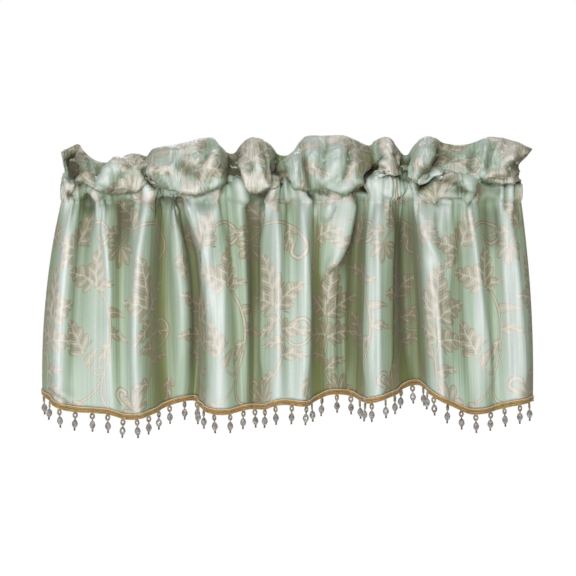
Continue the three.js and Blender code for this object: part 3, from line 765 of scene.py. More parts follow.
# kind 0 is a frond or lobed leaf along a midrib, kind 1 a palmette of petals round a point
leafColumns = ["kind", "x", "y", "angle", "length", "halfWidth", "bend", "lobes", "fusion"]
leafRows = [
    # the tall spray
    [0, 60, 140, 86, 66, 29.2, 0.12, 3, 0.6],
    [0, 56, 124, 134, 60, 24.8, -0.4, 3, 0.6],
    [0, 62, 122, 42, 60, 24.8, 0.4, 3, 0.6],
    [0, 56, 92, 160, 54, 21.6, -0.5, 3, 0.6],
    [0, 61, 88, 24, 56, 21.6, 0.5, 3, 0.6],
    [0, 53, 58, 142, 40, 12, -0.6, 2, 0.58],
    [0, 54, 40, 36, 46, 13, 0.6, 2, 0.58],
    [1, 78, 2, 66, 34, 34, 0, 5, 0.48],
    # the scroll
    [0, 134, 84, 118, 52, 25.9, -0.15, 3, 0.6],
    [0, 189, 112, 12, 38, 11, 0.9, 2, 0.5],
    [0, 186, 140, 20, 34, 10, 0.9, 0, 0.2],
    [0, 186, 96, 212, 38, 11, -0.9, 2, 0.5],
    [0, 150, 182, 156, 54, 23.8, -0.4, 3, 0.6],
    [0, 158, 178, 92, 56, 24.8, 0.35, 3, 0.6],
    [0, 160, 172, 30, 38, 12, 0.6, 2, 0.5],
    [0, 134, 12, 200, 34, 11, 0.5, 2, 0.5],
    [0, 142, 68, 60, 30, 10, 0.4, 0, 0.3],
    # the second spray
    [1, 240, 12, 100, 34, 34, 0, 5, 0.48],
    [0, 266, 162, 106, 62, 28.1, -0.2, 3, 0.6],
    [0, 268, 146, 156, 54, 23.8, -0.4, 3, 0.6],
    [0, 274, 142, 50, 58, 24.8, 0.45, 3, 0.6],
    [0, 276, 124, 200, 44, 16, -0.5, 2, 0.58],
    [0, 285, 110, 10, 46, 16, 0.5, 2, 0.58],
    [0, 270, 44, 172, 38, 12, -0.5, 2, 0.5],
    [0, 283, 72, 18, 44, 13, 0.6, 2, 0.58],
    [0, 285, 90, 166, 40, 12, -0.6, 2, 0.5],
    # the fillers above
    [1, 208, 232, 262, 31, 31, 0, 5, 0.48],
    [0, 232, 260, 122, 48, 21.6, -0.35, 3, 0.6],
    [0, 206, 250, 176, 34, 12, -0.35, 2, 0.5],
    [0, 300, 256, 268, 40, 13, 0.5, 2, 0.5],
    [0, 116, 234, 66, 54, 25.9, 0.15, 3, 0.6],
    [0, 104, 226, 160, 48, 20.5, -0.35, 3, 0.6],
    [0, 100, 218, 216, 36, 12, -0.35, 2, 0.5],
    [0, 24, 238, 26, 50, 20.5, 0.35, 3, 0.6],
    [0, 12, 214, 262, 40, 12, -0.5, 2, 0.5],
    [0, 330, 40, 250, 42, 13, -0.5, 2, 0.5],
]

# stems: half-width at the start and the end, then the points that the stem goes through
stemRows = [
    (3.2, 2.1, [(72, 8), (56, 30), (52, 54), (60, 84), (58, 126), (60, 168)]),
    (2.2, 1.8, [(60, 84), (70, 92), (84, 104)]),
    (3.0, 2.0, [(150, 182), (176, 160), (188, 124), (186, 88), (172, 52), (150, 26), (122, 12)]),
    (2.2, 4.2, [(180, 70), (168, 34), (178, 12), (204, 6), (222, 18), (220, 36), (206, 40),
                (200, 30), (207, 24)]),
    (2.2, 1.5, [(176, 60), (160, 54), (142, 68), (132, 92)]),
    (3.1, 2.1, [(236, 14), (262, 34), (281, 64), (287, 104), (268, 150), (258, 186)]),
    (2.2, 3.8, [(287, 104), (302, 88), (322, 92), (331, 110), (321, 126), (306, 121), (306, 109),
                (316, 106)]),
    (2.2, 2.2, [(236, 14), (214, 2), (196, -12), (180, -30)]),
    (2.2, 4.0, [(206, 232), (222, 250), (250, 262), (290, 262), (318, 246), (326, 226), (314, 212),
                (302, 218), (304, 230)]),
    (2.0, 3.6, [(104, 224), (112, 236), (122, 238), (150, 262), (176, 262), (186, 246), (176, 234),
                (166, 240)]),
    (2.1, 1.5, [(12, 214), (16, 228), (24, 238), (44, 262), (70, 268)]),
]


def evenlyAlong(points, values, places):
    # the values that belong to a line's points, read at places along the line
    run = runLength(points)
    return np.stack([np.interp(places, run, column) for column in values.T], -1)


def smoothPath(knots):
    # a rounded line through a stem's knots, evenly spaced
    knots = np.array(knots, float)
    padded = np.vstack([2 * knots[0] - knots[1], knots, 2 * knots[-1] - knots[-2]])
    weight = np.linspace(0, 1, 24, endpoint=False)[:, None]
    fine = [curveBetween(p1, p2, (p2 - p0) / 2, (p3 - p1) / 2, weight)
            for p0, p1, p2, p3 in zip(padded, padded[1:], padded[2:], padded[3:])]
    fine = np.vstack(fine + [knots[-1:]])
    total = runLength(fine)[-1]
    return evenlyAlong(fine, fine, np.linspace(0, total, max(2, int(total / patternSizes["pathStep"]))))


def repeatOrigins(width, height):
    # the lower left corners of all repeats that reach the cloth
    stepX, stepY = patternSizes["repeatWidth"], patternSizes["repeatHeight"]
    shiftX, shiftY = patternSizes["shift"]
    return [(shiftX + i * stepX + (j % 2) * stepX / 2, shiftY + j * stepY)
            for j in range(-1, int(height / stepY) + 2) for i in range(-2, int(width / stepX) + 2)]


def leafPlaces(corners, at, leaf):
    # places of flat points in a leaf's own frame: along the midrib and across it
    angle = math.radians(leaf["angle"])
    dx, dy = corners[..., 0] - at[0], corners[..., 1] - at[1]
    along = (dx * math.cos(angle) + dy * math.sin(angle)) / leaf["length"]
    across = (dy * math.cos(angle) - dx * math.sin(angle)) / leaf["halfWidth"]
    bent = across + leaf["bend"] * along * np.abs(along) * leaf["length"] / leaf["halfWidth"] * 0.5
    return np.stack([along, bent], -1)


def assignLeaves(corners):
    # each face takes at most one leaf in each layer
    layers, margin = patternSizes["layers"], patternSizes["margin"]
    places, kinds = np.zeros((2, layers, len(corners), 4, 3))
    places[..., 0] = -1
    taken = np.zeros((layers, len(corners)), bool)
    low, high = corners.min((0, 1)), corners.max((0, 1))
    middles = corners.mean(1)
    for origin in repeatOrigins(*high):
        for row in leafRows:
            leaf = dict(zip(leafColumns, row))
            at = np.add(origin, (leaf["x"], leaf["y"]))
            reach = leaf["length"] + leaf["halfWidth"]
            if (at + reach < low).any() or (at - reach > high).any():
                continue
            near = np.flatnonzero(lengthOf(middles - at) < reach * patternSizes["leafReach"])
            local = leafPlaces(corners[near], at, leaf)
            x, y = local[..., 0], local[..., 1]
            inside = (x > -margin) & (x < 1 + margin) & (np.abs(y) < 1 + 1.5 * margin)
            if leaf["kind"] == 1:
                inside = np.hypot(x, y) < 1 + margin
            wanted = inside.any(1)
            near, local = near[wanted], local[wanted]
            layer = int(np.argmin(taken[:, near].sum(1)))
            free = ~taken[layer, near]
            near, local = near[free], local[free]
            taken[layer, near] = True
            places[layer, near, :, :2] = local
            places[layer, near, :, 2] = 1
            kinds[layer, near] = (leaf["kind"], leaf["lobes"], leaf["fusion"])
    return places, kinds


def assignStems(corners):
    # offset from the nearest stem and its half-width, for each face corner
    low, high = corners.min((0, 1)), corners.max((0, 1))
    margin, window = patternSizes["stemMargin"], patternSizes["stemWindow"]
    stems = []
    for origin in repeatOrigins(*high):
        for startWidth, endWidth, knots in stemRows:
            path = smoothPath(knots) + origin
            if (path.max(0) < low - margin).any() or (path.min(0) > high + margin).any():
                continue
            widths = np.linspace(startWidth, endWidth, len(path))
            stems.append(np.column_stack([path, unitOf(np.gradient(path, axis=0)), widths,
                                          np.full(len(path), len(stems))]))
    stems = np.vstack(stems)
    points, tangents, widths, paths = stems[:, :2], stems[:, 2:4], stems[:, 4], stems[:, 5]
    tree = KDTree(len(points))
    for i, point in enumerate(points):
        tree.insert((*point, 0), i)
    tree.balance()
    result = np.zeros((len(corners), 4, 3))
    result[..., 2] = -1
    for face, middle in enumerate(corners.mean(1)):
        place, index, distance = tree.find((*middle, 0))
        if distance > patternSizes["stemReach"]:
            continue
        close = np.arange(max(index - window, 0), min(index + window + 1, len(points)))
        close = close[paths[close] == paths[index]]
        gaps = corners[face][:, None] - points[close][None]
        best = close[np.argmin((gaps ** 2).sum(-1), axis=1)]
        gap, tangent = corners[face] - points[best], tangents[best]
        result[face, :, 0] = tangent[:, 0] * gap[:, 1] - tangent[:, 1] * gap[:, 0]
        result[face, :, 2] = widths[best]
    return result


def addPattern(piece, grid):
    # flat places, along the cut width and up from the hem, and what the pattern holds there
    up = runLength(grid).mean(1)
    flat = np.stack(np.broadcast_arrays(columnFlat[None, :], up[:, None]), -1)
    writeUv(piece, "flatCloth", flat * millimetre)
    corners = cellCorners(flat).reshape(-1, 4, 2)
    writeAttribute(piece, "stem", assignStems(corners), "CORNER")
    for name, layers in zip(("leafPlace", "leafKind"), assignLeaves(corners)):
        for layer, values in enumerate(layers):
            writeAttribute(piece, f"{name}{layer}", values, "CORNER")


# the reach and full depth of a fold hollow, how far the sheet turns from the lamps before its side gets
# painted shade, and the evening
foldSizes = {"reach": 14, "fullDepth": 42, "sideShade": (0.05, 0.75), "evening": 4}


def addDepthAndPaintedShade(piece, grid):
    # how far each point lies behind the folds beside it, 0 on a crest; it paints shade into the hollows and
    # highlight onto the crests
    depth, reach = grid[..., 1], foldSizes["reach"]
    wide = np.pad(depth, ((0, 0), (reach, reach)), mode="edge")
    windows = np.lib.stride_tricks.sliding_window_view(wide, 2 * reach + 1, axis=1)
    hollow = np.clip((depth - windows.min(-1)) / foldSizes["fullDepth"], 0, 1)
    writeAttribute(piece, "foldDepth", smoothAlong(hollow, foldSizes["evening"]))
    # painted shade in the creases and under the ruffle
    writeAttribute(piece, "paintedCreaseShade", clothPaintedShade)
    # painted shade on the sides turned from the lamps at the left
    turned = sheetNormals(smoothAlong(grid, foldSizes["evening"]))[..., 0]
    writeAttribute(piece, "paintedSideShade", smoothStep(turned, *foldSizes["sideShade"]))
    inRuffle = np.isin(clothZones, ("ruffle", "fold", "ruffleBack"))
    writeAttribute(piece, "crumpled", np.broadcast_to(inRuffle[:, None], depth.shape))


leafShape = {
    # a frond's outline and the slant of its lobes, which alternate from side to side
    "footRise": 6, "footStart": 0.18, "tipPower": 0.6, "fullness": 1.1,
    "slant": -0.2, "slantCurve": -0.16, "stagger": 0.25, "frondStart": -0.03,
    # a palmette opens this far to both sides, in radians, where its petals are shorter
    "petalSpread": 1.9, "petalShorter": 0.3,
    "lobePower": 0.7, "lobeWidth": 0.47, "outline": 0.11,
    "rib": 0.075, "ribTaper": -0.04, "vein": 0.075, "veinReach": 0.72,
    "stemLine": 0.26, "stemEdge": 0.62,
}
clothLook = {
    # silk-look polyester satin: long floats over a duller reverse, so it gleams in upright bands. The crest
    # colours are painted highlight and the hollow colours painted shade, for ground and motif alike
    "groundCrest": "#b4bdb9", "ground": "#93a790", "groundHollow": "#5f671f",
    "motifCrest": "#c8c0b6", "motif": "#a19880", "motifHollow": "#6a5d34",
    "vein": "#cfcec0", "outline": "#6b5c40", "reverse": "#8ba387", "reverseShare": 0.45,
    # how much each thing darkens the painted tone, from 0 for painted highlight on a crest to 1 for painted
    # shade in a hollow, and how soon the middle colour and then the hollow's colour take over from the
    # crest's. The streaks make the painted highlight and shade uneven in upright lines
    "hollowPower": 0.9, "creaseShadeTone": 0.9, "sideShadeTone": 0.25, "streakTone": 0.5, "toneStart": 0.3,
    "middleGain": 2.25, "hollowGain": 1.82, "motifSideShade": 0.45,
    # how strongly the motif, its dark outline and its light veins show; the outline and veins change with
    # the painted tone
    "motifShare": 0.85, "outlineShare": (0.45, 0.12), "veinShare": (-0.3, 0.45),
    # the painted crease shade darkens the colour, and the slubs darken it at random as uneven thread
    "shade": 0.92, "creaseShade": -0.55, "slubDarkening": 0.16,
    # uneven threads, far coarser than real ones so that they show: spacing across and along in
    # millimetres, and detail
    "slub": (14, 0.9, 2.0), "streaks": (3.6, 190, 2.0), "fineStreaks": (1.4, 80, 2.0), "fineShare": 0.3,
    "wrinkles": (9, 15, 1.0), "wrinkleShare": -9.0,
    # relief of the streaks, and of the motif, its lines and the slubs
    "streakHeight": 0.45, "streakStrength": 0.8, "weaveHeight": 0.25, "weaveStrength": 0.5,
    "motifHeight": 0.5, "lineHeight": 0.3, "slubHeight": 0.25,
    "roughness": 0.42, "reverseRoughness": 0.5, "hollowRoughness": 0.3, "motifRoughness": 0.05,
}


def leafMasks(add, layer):
    # body, light lines and dark edge of the leaves in one layer
    shape = leafShape
    (x, y, present), (isPalmette, lobes, fusion) = (
        add("SeparateXYZ", add("Attribute", attribute_name=f"{name}{layer}").outputs["Vector"]).outputs
        for name in ("leafPlace", "leafKind"))
    side = add("ABSOLUTE", y)
    foot = add("MINIMUM", add("SQRT", add("*+", x, shape["footRise"], shape["footStart"])), 1)
    tip = add("^", add("-", 1, x, use_clamp=True), shape["tipPower"])
    width = add("*", tip, add("*", foot, shape["fullness"]))
    frondReach = add("/", side, add("MAXIMUM", width, 0.001))
    swept = add("*+", add("*", side, side), shape["slantCurve"], x)
    swept = add("*+", side, shape["slant"], swept)
    frondPhase = add("*+", swept, lobes, add("*", add("SIGN", y), shape["stagger"]))
    inFrond = add("*", add(">", x, shape["frondStart"]), add("<", x, 1))
    spread = shape["petalSpread"]
    turn = add("ARCTAN2", y, x)
    far = add("SQRT", add("+", add("*", x, x), add("*", y, y)))
    sideways = add("*", turn, turn)
    petalReach = add("/", far, add("*+", sideways, -shape["petalShorter"] / spread ** 2, 1))
    petalPhase = add("*", turn, add("/", lobes, 2 * spread))
    inFan = add("<", add("ABSOLUTE", turn), spread)
    reach, phase, inside = (
        add("*+", add("-", petal, frond), isPalmette, frond)
        for frond, petal in ((frondReach, petalReach), (frondPhase, petalPhase), (inFrond, inFan)))
    lobe = add("ABSOLUTE", add("-", add("FRACT", add("+", phase, 100.5)), 0.5))
    past = add("/", add("-", reach, fusion), add("-", 1, fusion), use_clamp=True)
    rounded = add("-", 1, add("*", past, past), use_clamp=True)
    half = add("*", add("^", rounded, shape["lobePower"]), shape["lobeWidth"])
    body = add("*", add("<", lobe, half), add("*", inside, present))
    edge = add("*", add(">", lobe, add("-", half, shape["outline"])), body)
    rib = add("<", side, add("*+", x, shape["ribTaper"], shape["rib"]))
    rib = add("*", rib, add("-", 1, isPalmette))
    vein = add("*", add("<", lobe, shape["vein"]), add("<", reach, shape["veinReach"]))
    vein = add("*", vein, add(">", lobes, 0.5))
    return body, add("*", add("MAXIMUM", rib, vein), body), edge


def patternMasks(add):
    # the same for all layers and the stems between them
    masks = leafMasks(add, 0)
    for layer in range(1, patternSizes["layers"]):
        masks = [add("MAXIMUM", a, b) for a, b in zip(masks, leafMasks(add, layer))]
    body, line, edge = masks
    stem = add("SeparateXYZ", add("Attribute", attribute_name="stem").outputs["Vector"])
    offset, half = add("ABSOLUTE", stem), stem.outputs[2]
    inStem = add("<", offset, half)
    stemLine = add("<", offset, add("*", half, leafShape["stemLine"]))
    stemEdge = add(">", offset, add("*", half, leafShape["stemEdge"]))
    alone = add("-", 1, body)
    line = add("MAXIMUM", line, add("*", stemLine, alone))
    edge = add("MAXIMUM", edge, add("*", add("*", stemEdge, inStem), alone))
    return add("MAXIMUM", body, inStem), line, edge


def clothPaint(add, masks, tone, sideShade, reverse):
    # ground and motif, both painted bluish white as highlight on the crests and olive or brown as shade in
    # the hollows
    look = clothLook
    body, line, edge = masks
    nearTone = add("*", tone, look["middleGain"], use_clamp=True)
    farTone = add("*+", tone, look["hollowGain"], 1 - look["hollowGain"], use_clamp=True)
    # the motif gets painted shade on the sides turned from the lamps as well as in the hollows
    motifTone = add("*+", sideShade, look["motifSideShade"], farTone, use_clamp=True)
    toned = []
    # painted highlight on the crests, the middle colour, then painted shade in the hollows
    for part, deep in (("ground", farTone), ("motif", motifTone)):
        crest, middle, hollow = (colour(look[part + place]) for place in ("Crest", "", "Hollow"))
        near = add("Mix", nearTone, crest, middle, data_type="RGBA")
        toned.append(add("Mix", deep, near, hollow, data_type="RGBA"))
    paint, motif = toned
    outline = add("*", edge, add("*+", nearTone, *look["outlineShare"]))
    vein = add("*", line, add("*+", farTone, *look["veinShare"]))
    coats = [(add("*", body, look["motifShare"]), motif), (outline, colour(look["outline"])),
             (vein, colour(look["vein"]))]
    if reverse:
        coats.append((look["reverseShare"], colour(look["reverse"])))
    for share, coat in coats:
        paint = add("Mix", share, paint, coat, data_type="RGBA")
    return paint


def satinMaterial(name, reverse=False):
    material, add = newMaterial(name)
    look = clothLook
    masks = body, line, edge = patternMasks(add)
    uv = add("UVMap", uv_map="flatCloth")
    threads = {}
    for kind in ("slub", "streaks", "fineStreaks", "wrinkles"):
        across, along, detail = look[kind]
        scale = (1 / (across * millimetre), 1 / (along * millimetre), 1)
        threads[kind] = add("TexNoise", add("Mapping", uv, sockets={"Scale": scale}), noise_dimensions="2D",
                            sockets={"Scale": 1.0, "Detail": detail})
    slub = threads["slub"]
    streaks = add("*+", threads["fineStreaks"], look["fineShare"], threads["streaks"])
    hollow, crease, sideShade, crumpled = (
        add("Attribute", attribute_name=field).outputs["Fac"]
        for field in ("foldDepth", "paintedCreaseShade", "paintedSideShade", "crumpled"))
    if reverse:
        # the valleys of the front are the crests of the back, so the painted shade and highlight swap there
        hollow = add("-", 0.5, hollow, use_clamp=True)
    # the painted crease and underside shade joins the painted shade of the fold hollows
    hollow = add("MAXIMUM", add("^", hollow, look["hollowPower"]), add("*", crease, look["creaseShadeTone"]))
    # the sides turned from the lamps get painted shade
    tone = add("*+", sideShade, look["sideShadeTone"], add("-", hollow, look["toneStart"]))
    # the streaks make the painted highlight and shade uneven in upright lines
    tone = add("*+", streaks, look["streakTone"], tone, use_clamp=True)
    # colour darkened by the painted crease shade and at random by the slubs
    shade = add("*+", slub, look["slubDarkening"], add("*+", crease, look["creaseShade"], look["shade"]))
    paint = add("Mix", 1.0, clothPaint(add, masks, tone, sideShade, reverse),
                add("CombineColor", shade, shade, shade), data_type="RGBA", blend_type="MULTIPLY")
    roughness = look["reverseRoughness" if reverse else "roughness"]
    roughness = add("*+", body, look["motifRoughness"], roughness)
    roughness = add("*+", hollow, look["hollowRoughness"], roughness)
    wrinkle = add("*", add("ABSOLUTE", add("-", threads["wrinkles"], 0.5)), crumpled)
    wrinkled = add("Bump", sockets={
        "Strength": look["streakStrength"], "Distance": look["streakHeight"] * millimetre,
        "Height": add("*+", wrinkle, look["wrinkleShare"], streaks)})
    raised = add("*+", line, look["lineHeight"], add("*", slub, look["slubHeight"]))
    raised = add("*+", body, look["motifHeight"], raised)
    bump = add("Bump", sockets={
        "Strength": look["weaveStrength"], "Distance": look["weaveHeight"] * millimetre,
        "Height": raised, "Normal": wrinkled})
    shader = add("BsdfPrincipled", sockets={
        "Base Color": paint, "Roughness": roughness, "Normal": bump,
        "Tangent": add("Tangent", direction_type="UV_MAP", uv_map="flatCloth"),
        "Anisotropic": 0.6, "Anisotropic Rotation": 0.0,
        "Sheen Weight": 0.15, "Sheen Roughness": 0.4, "Specular IOR Level": 1.0, "IOR": 1.6,
    })
    add("OutputMaterial", shader)
    return material


clothGrid, clothZones, clothPaintedShade = makeClothGrid()
valanceCloth = writeGrid("valanceCloth", clothGrid)
addPattern(valanceCloth, clothGrid)
addDepthAndPaintedShade(valanceCloth, clothGrid)
valanceCloth.data.materials.append(satinMaterial("satinJacquard"))
valanceCloth.data.materials.append(satinMaterial("satinJacquardReverse", reverse=True))
select(valanceCloth)
thicken = valanceCloth.modifiers.new("thickness", "SOLIDIFY")
thicken.thickness = clothSizes["thickness"] * millimetre
thicken.offset = 0
thicken.material_offset = 1
bpy.ops.object.modifier_apply(modifier=thicken.name)
bpy.ops.object.shade_smooth()
print("cloth", len(valanceCloth.data.polygons) * 2, "triangles")

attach(valanceCloth, "root")
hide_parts("valance_cloth")


braidSizes = {
    "top": 1.2, "foot": 7.6, "proud": 0.9, "step": 0.85,
    "bed": -0.2, "faceDepth": 0.675, "backDepth": -0.525,
    # the lower part of the braid lies closer to the cloth
    "tuck": 0.6, "tuckFrom": (0.2, 0.9),
    "cords": 4, "cordRelief": 1.0, "cordRound": 0.7, "edgeRound": 12,
    "twistLength": 3.4, "twistRelief": 0.3, "twistSlant": 6,
}


def hemFrame():
    # places along the hem, its points there, and the cloth's downward and forward directions
    hem = clothGrid[0]
    total = runLength(hem)[-1]
    places = np.linspace(0, total, int(total / braidSizes["step"]) + 1)
    line, down, out = (
        smoothAlong(evenlyAlong(hem, values, places)[None], 6)[0]
        for values in (hem, unitOf(hem - clothGrid[2]), sheetNormals(clothGrid[:4])[0]))
    return places, line, unitOf(down), unitOf(out)


hemPlaces, hemLine, hemDown, hemOut = hemFrame()


def makeBraid():
    s = braidSizes
    front = np.linspace(0, 1, 4 * s["cords"] + 1)
    cordShape = np.abs(np.sin(front * s["cords"] * np.pi)) ** s["cordRound"]
    topRound, footRound = (np.sin(np.clip(side * s["edgeRound"], 0, 1) * np.pi / 2)
                           for side in (front, 1 - front))
    shares = np.concatenate([front, front[::-4][1:-1]])
    rings = []
    for i, share in enumerate(shares):
        depth = np.full(len(hemPlaces), s["backDepth"])
        if i < len(front):
            cord = min(int(share * s["cords"]), s["cords"] - 1)
            turn = np.sin(2 * np.pi * hemPlaces / s["twistLength"] + (cord % 2) * np.pi
                          + s["twistSlant"] * share)
            depth = (s["bed"] + s["faceDepth"] * topRound[i] * footRound[i]
                     + (s["cordRelief"] + s["twistRelief"] * turn) * cordShape[i])
        depth += s["proud"] * (1 - s["tuck"] * smoothStep(share, *s["tuckFrom"]))
        lower = (s["top"] + s["foot"]) * share - s["top"]
        rings.append(hemLine + hemDown * lower + hemOut * depth[:, None])
    braid = writeGrid("goldBraid", np.array(rings + rings[:1])[::-1])
    shares = np.append(shares, shares[0])[::-1]
    writeUv(braid, "alongBraid",
            np.stack(np.broadcast_arrays(hemPlaces[None, :] * millimetre, shares[:, None]), -1))
    select(braid)
    bpy.ops.object.mode_set(mode="EDIT")
    bpy.ops.mesh.select_all(action="SELECT")
    bpy.ops.mesh.remove_doubles(threshold=0.01 * millimetre)
    bpy.ops.mesh.fill_holes(sides=0)
    bpy.ops.object.mode_set(mode="OBJECT")
    return braid


dropSizes = {
    # each drop turns and leans a little its own way
    "count": 44, "lean": 0.06, "turn": 0.5, "hangShare": 0.4, "uneven": (5.3, 3.7, 2.4),
    # a loop of beads on a thread, its top buried in the braid, and the neck under it
    "loopWidth": 5.0, "loopHeight": 9.4, "thread": 1.5, "bury": 1.0, "loopBeads": 13,
    "beadNarrow": 0.62, "beadSwell": 0.42,
    "neckRadius": 0.95, "neckLength": 2.6,
    # distance below the top of the glass and radius, from the neck to the tip
    "glassTop": 10.6, "facets": 10,
    "glassProfile": [(0, 1.2), (0.9, 2.2), (2.4, 3.3), (4.4, 4.1), (6.8, 4.3), (9.0, 3.6),
                     (10.8, 2.4), (12, 1.3)],
    "capRadius": 1.25, "capLength": 2.0, "beadRadius": 1.45,
    # clouds in the glass: spacing, gain and start
    "cloud": 5, "cloudGain": (2.4, -0.7),
}


def makeLoopMaster():
    s = dropSizes
    select()
    high = (s["loopHeight"] + s["bury"]) / 2
    bpy.ops.mesh.primitive_torus_add(
        location=(0, 0, s["bury"] - high), rotation=(math.pi / 2, 0, 0), major_segments=52, minor_segments=6,
        major_radius=s["loopWidth"] / 2, minor_radius=s["thread"])
    loop = bpy.context.object
    for vertex in loop.data.vertices:
        turn = math.atan2(vertex.co.y, vertex.co.x)
        core = Vector((math.cos(turn), math.sin(turn), 0)) * s["loopWidth"] / 2
        swell = s["beadNarrow"] + s["beadSwell"] * abs(math.sin(turn * s["loopBeads"] / 2))
        vertex.co = core + (vertex.co - core) * swell
    bpy.ops.object.mode_set(mode="EDIT")
    bpy.ops.transform.resize(value=(1, 1, 2 * high / (s["loopWidth"] + 2 * s["thread"])))
    bpy.ops.object.mode_set(mode="OBJECT")
    bpy.ops.mesh.primitive_cylinder_add(
        vertices=8, radius=s["neckRadius"], depth=s["neckLength"],
        location=(0, 0, -s["loopHeight"] - s["neckLength"] * 0.2))
    return joined(loop, bpy.context.object)


def makeGlassMaster():
    s = dropSizes
    select()
    (down, radius), *others = s["glassProfile"]
    bpy.ops.mesh.primitive_circle_add(
        vertices=s["facets"], radius=radius, fill_type="NGON", location=(0, 0, -s["glassTop"] - down))
    glass = bpy.context.object
    bpy.ops.object.transform_apply(location=True, rotation=True, scale=True)
    bpy.ops.object.mode_set(mode="EDIT")
    bpy.ops.mesh.select_all(action="SELECT")
    for nextDown, nextRadius in others:
        grow = nextRadius / radius
        bpy.ops.mesh.extrude_region_move(TRANSFORM_OT_translate={"value": (0, 0, down - nextDown)})
        bpy.ops.transform.resize(value=(grow, grow, 1), center_override=(0, 0, -s["glassTop"] - nextDown))
        down, radius = nextDown, nextRadius
    bpy.ops.mesh.select_all(action="SELECT")
    bpy.ops.mesh.normals_make_consistent(inside=False)
    bpy.ops.object.mode_set(mode="OBJECT")
    return glass


def makeSeedBead():
    # the end bead under the glass, with the short cap above it
    s = dropSizes
    select()
    low = s["glassTop"] + s["glassProfile"][-1][0] + s["capLength"] * 0.8
    bpy.ops.mesh.primitive_uv_sphere_add(
        segments=8, ring_count=6, radius=s["beadRadius"], location=(0, 0, -low - s["beadRadius"] * 0.7))
    bead = bpy.context.object
    bpy.ops.mesh.primitive_cylinder_add(
        vertices=8, radius=s["capRadius"], depth=s["capLength"], location=(0, 0, -low + s["capLength"] / 2))
    return joined(bead, bpy.context.object)


def spreadAlongHem(master, name):
    # one copy with its own mesh at each place along the hem, joined
    lean, (turnStep, *leanSteps) = dropSizes["lean"], dropSizes["uneven"]
    forward = braidSizes["proud"] * dropSizes["hangShare"]
    copies = []
    for i in range(dropSizes["count"]):
        k = int(round((i + 0.5) / dropSizes["count"] * (len(hemPlaces) - 1)))
        foot = hemLine[k] + hemDown[k] * braidSizes["foot"] + hemOut[k] * forward
        copy = master.copy()
        copy.data = master.data.copy()
        bpy.context.scene.collection.objects.link(copy)
        facing = math.atan2(hemOut[k][1], hemOut[k][0]) + math.pi / 2
        facing += dropSizes["turn"] * math.sin(i * turnStep)
        tipped, tilted = (i * step for step in leanSteps)
        copy.rotation_euler = (lean * math.cos(tipped), lean * math.sin(tilted), facing)
        copy.location = foot * millimetre
        copy.scale = (millimetre,) * 3
        copies.append(copy)
    row = joined(*copies)
    row.name = name
    bpy.data.objects.remove(master, do_unlink=True)
    return row


goldBraid = makeBraid()
threadLoops = spreadAlongHem(makeLoopMaster(), "threadLoops")
glassDrops = spreadAlongHem(makeGlassMaster(), "glassDrops")
seedBeads = spreadAlongHem(makeSeedBead(), "seedBeads")
for piece in (goldBraid, threadLoops, seedBeads):
    select(piece)
    bpy.ops.object.shade_smooth()
print("braid, loops, drops and beads")

braidLook = {
    "light": "#c2a05e", "dark": "#70501c", "pale": "#dcc7a0",
    "stitch": 2.6, "slant": 0.9, "mottle": 6, "mottleRows": 5, "twistLight": 0.9,
    # gain and start of the mottling, the pale upper edge and the dark middle, painted shade between the
    # upper and lower cords
    "mottleLight": (1.6, -0.5), "topEdge": (-3.2, 1.0), "middle": (-7, 0.9),
    "grooveFrom": 0.36, "grooveShare": 0.7, "grooveHeight": -0.6, "height": 0.5,
}


def braidMaterial():
    # rayon gimp: twisted cords with a soft gleam; painted highlight on each twist's ridge, and painted shade
    # between the twists and in the grooves where the cords meet
    material, add = newMaterial("rayonGimp")
    look = braidLook
    uv = add("UVMap", uv_map="alongBraid")
    along, across, _ = add("SeparateXYZ", uv).outputs
    cords = add("*", across, braidSizes["cords"])
    groove = add("ABSOLUTE", add("-", add("FRACT", cords), 0.5))
    groove = add(">", groove, look["grooveFrom"])
    lean = add("*", add("PINGPONG", cords, 1.0), look["slant"])
    twist = add("*+", along, 1 / (look["stitch"] * millimetre), lean)
    twist = add("ABSOLUTE", add("-", add("FRACT", twist), 0.5))
    scale = (1 / (look["mottle"] * millimetre), look["mottleRows"], 1)
    mottle = add("TexNoise", add("Mapping", uv, sockets={"Scale": scale}), noise_dimensions="2D",
                 sockets={"Scale": 1.0, "Detail": 3.0})
    # the twists paint highlight on their ridges and shade between them; the mottling varies at random
    light = add("*+", twist, look["twistLight"], add("*+", mottle, *look["mottleLight"]), use_clamp=True)
    topEdge = add("*+", across, *look["topEdge"], use_clamp=True)
    # painted shade along the middle, between the upper and lower cords
    middle = add("ABSOLUTE", add("-", across, 0.5))
    middle = add("*+", middle, *look["middle"], use_clamp=True)
    paint = colour(look["dark"])
    # the grooves where the cords meet get painted shade
    for share, tint in ((light, "light"), (topEdge, "pale"), (middle, "dark"),
                        (add("*", groove, look["grooveShare"]), "dark")):
        paint = add("Mix", share, paint, colour(look[tint]), data_type="RGBA")
    height = add("*+", groove, look["grooveHeight"], twist)
    bump = add("Bump", sockets={
        "Strength": 0.9, "Distance": look["height"] * millimetre, "Height": height})
    add("OutputMaterial", add("BsdfPrincipled", sockets={
        "Base Color": paint, "Roughness": 0.45, "Normal": bump, "Sheen Weight": 0.3}))
    return material


def beadMaterial(name, light, dark, roughness, transmission):
    # tinted glass: bright glints from its gloss, its tint clouded at random between light and dark
    material, add = newMaterial(name)
    cloud = add("TexNoise", add("TexCoord").outputs["Object"], sockets={
        "Scale": 1 / (dropSizes["cloud"] * millimetre), "Detail": 2.0})
    clear = add("*+", cloud, *dropSizes["cloudGain"], use_clamp=True)
    paint = add("Mix", clear, colour(dark), colour(light), data_type="RGBA")
    add("OutputMaterial", add("BsdfPrincipled", sockets={
        "Base Color": paint, "Roughness": roughness, "Transmission Weight": transmission, "IOR": 1.52}))
    return material


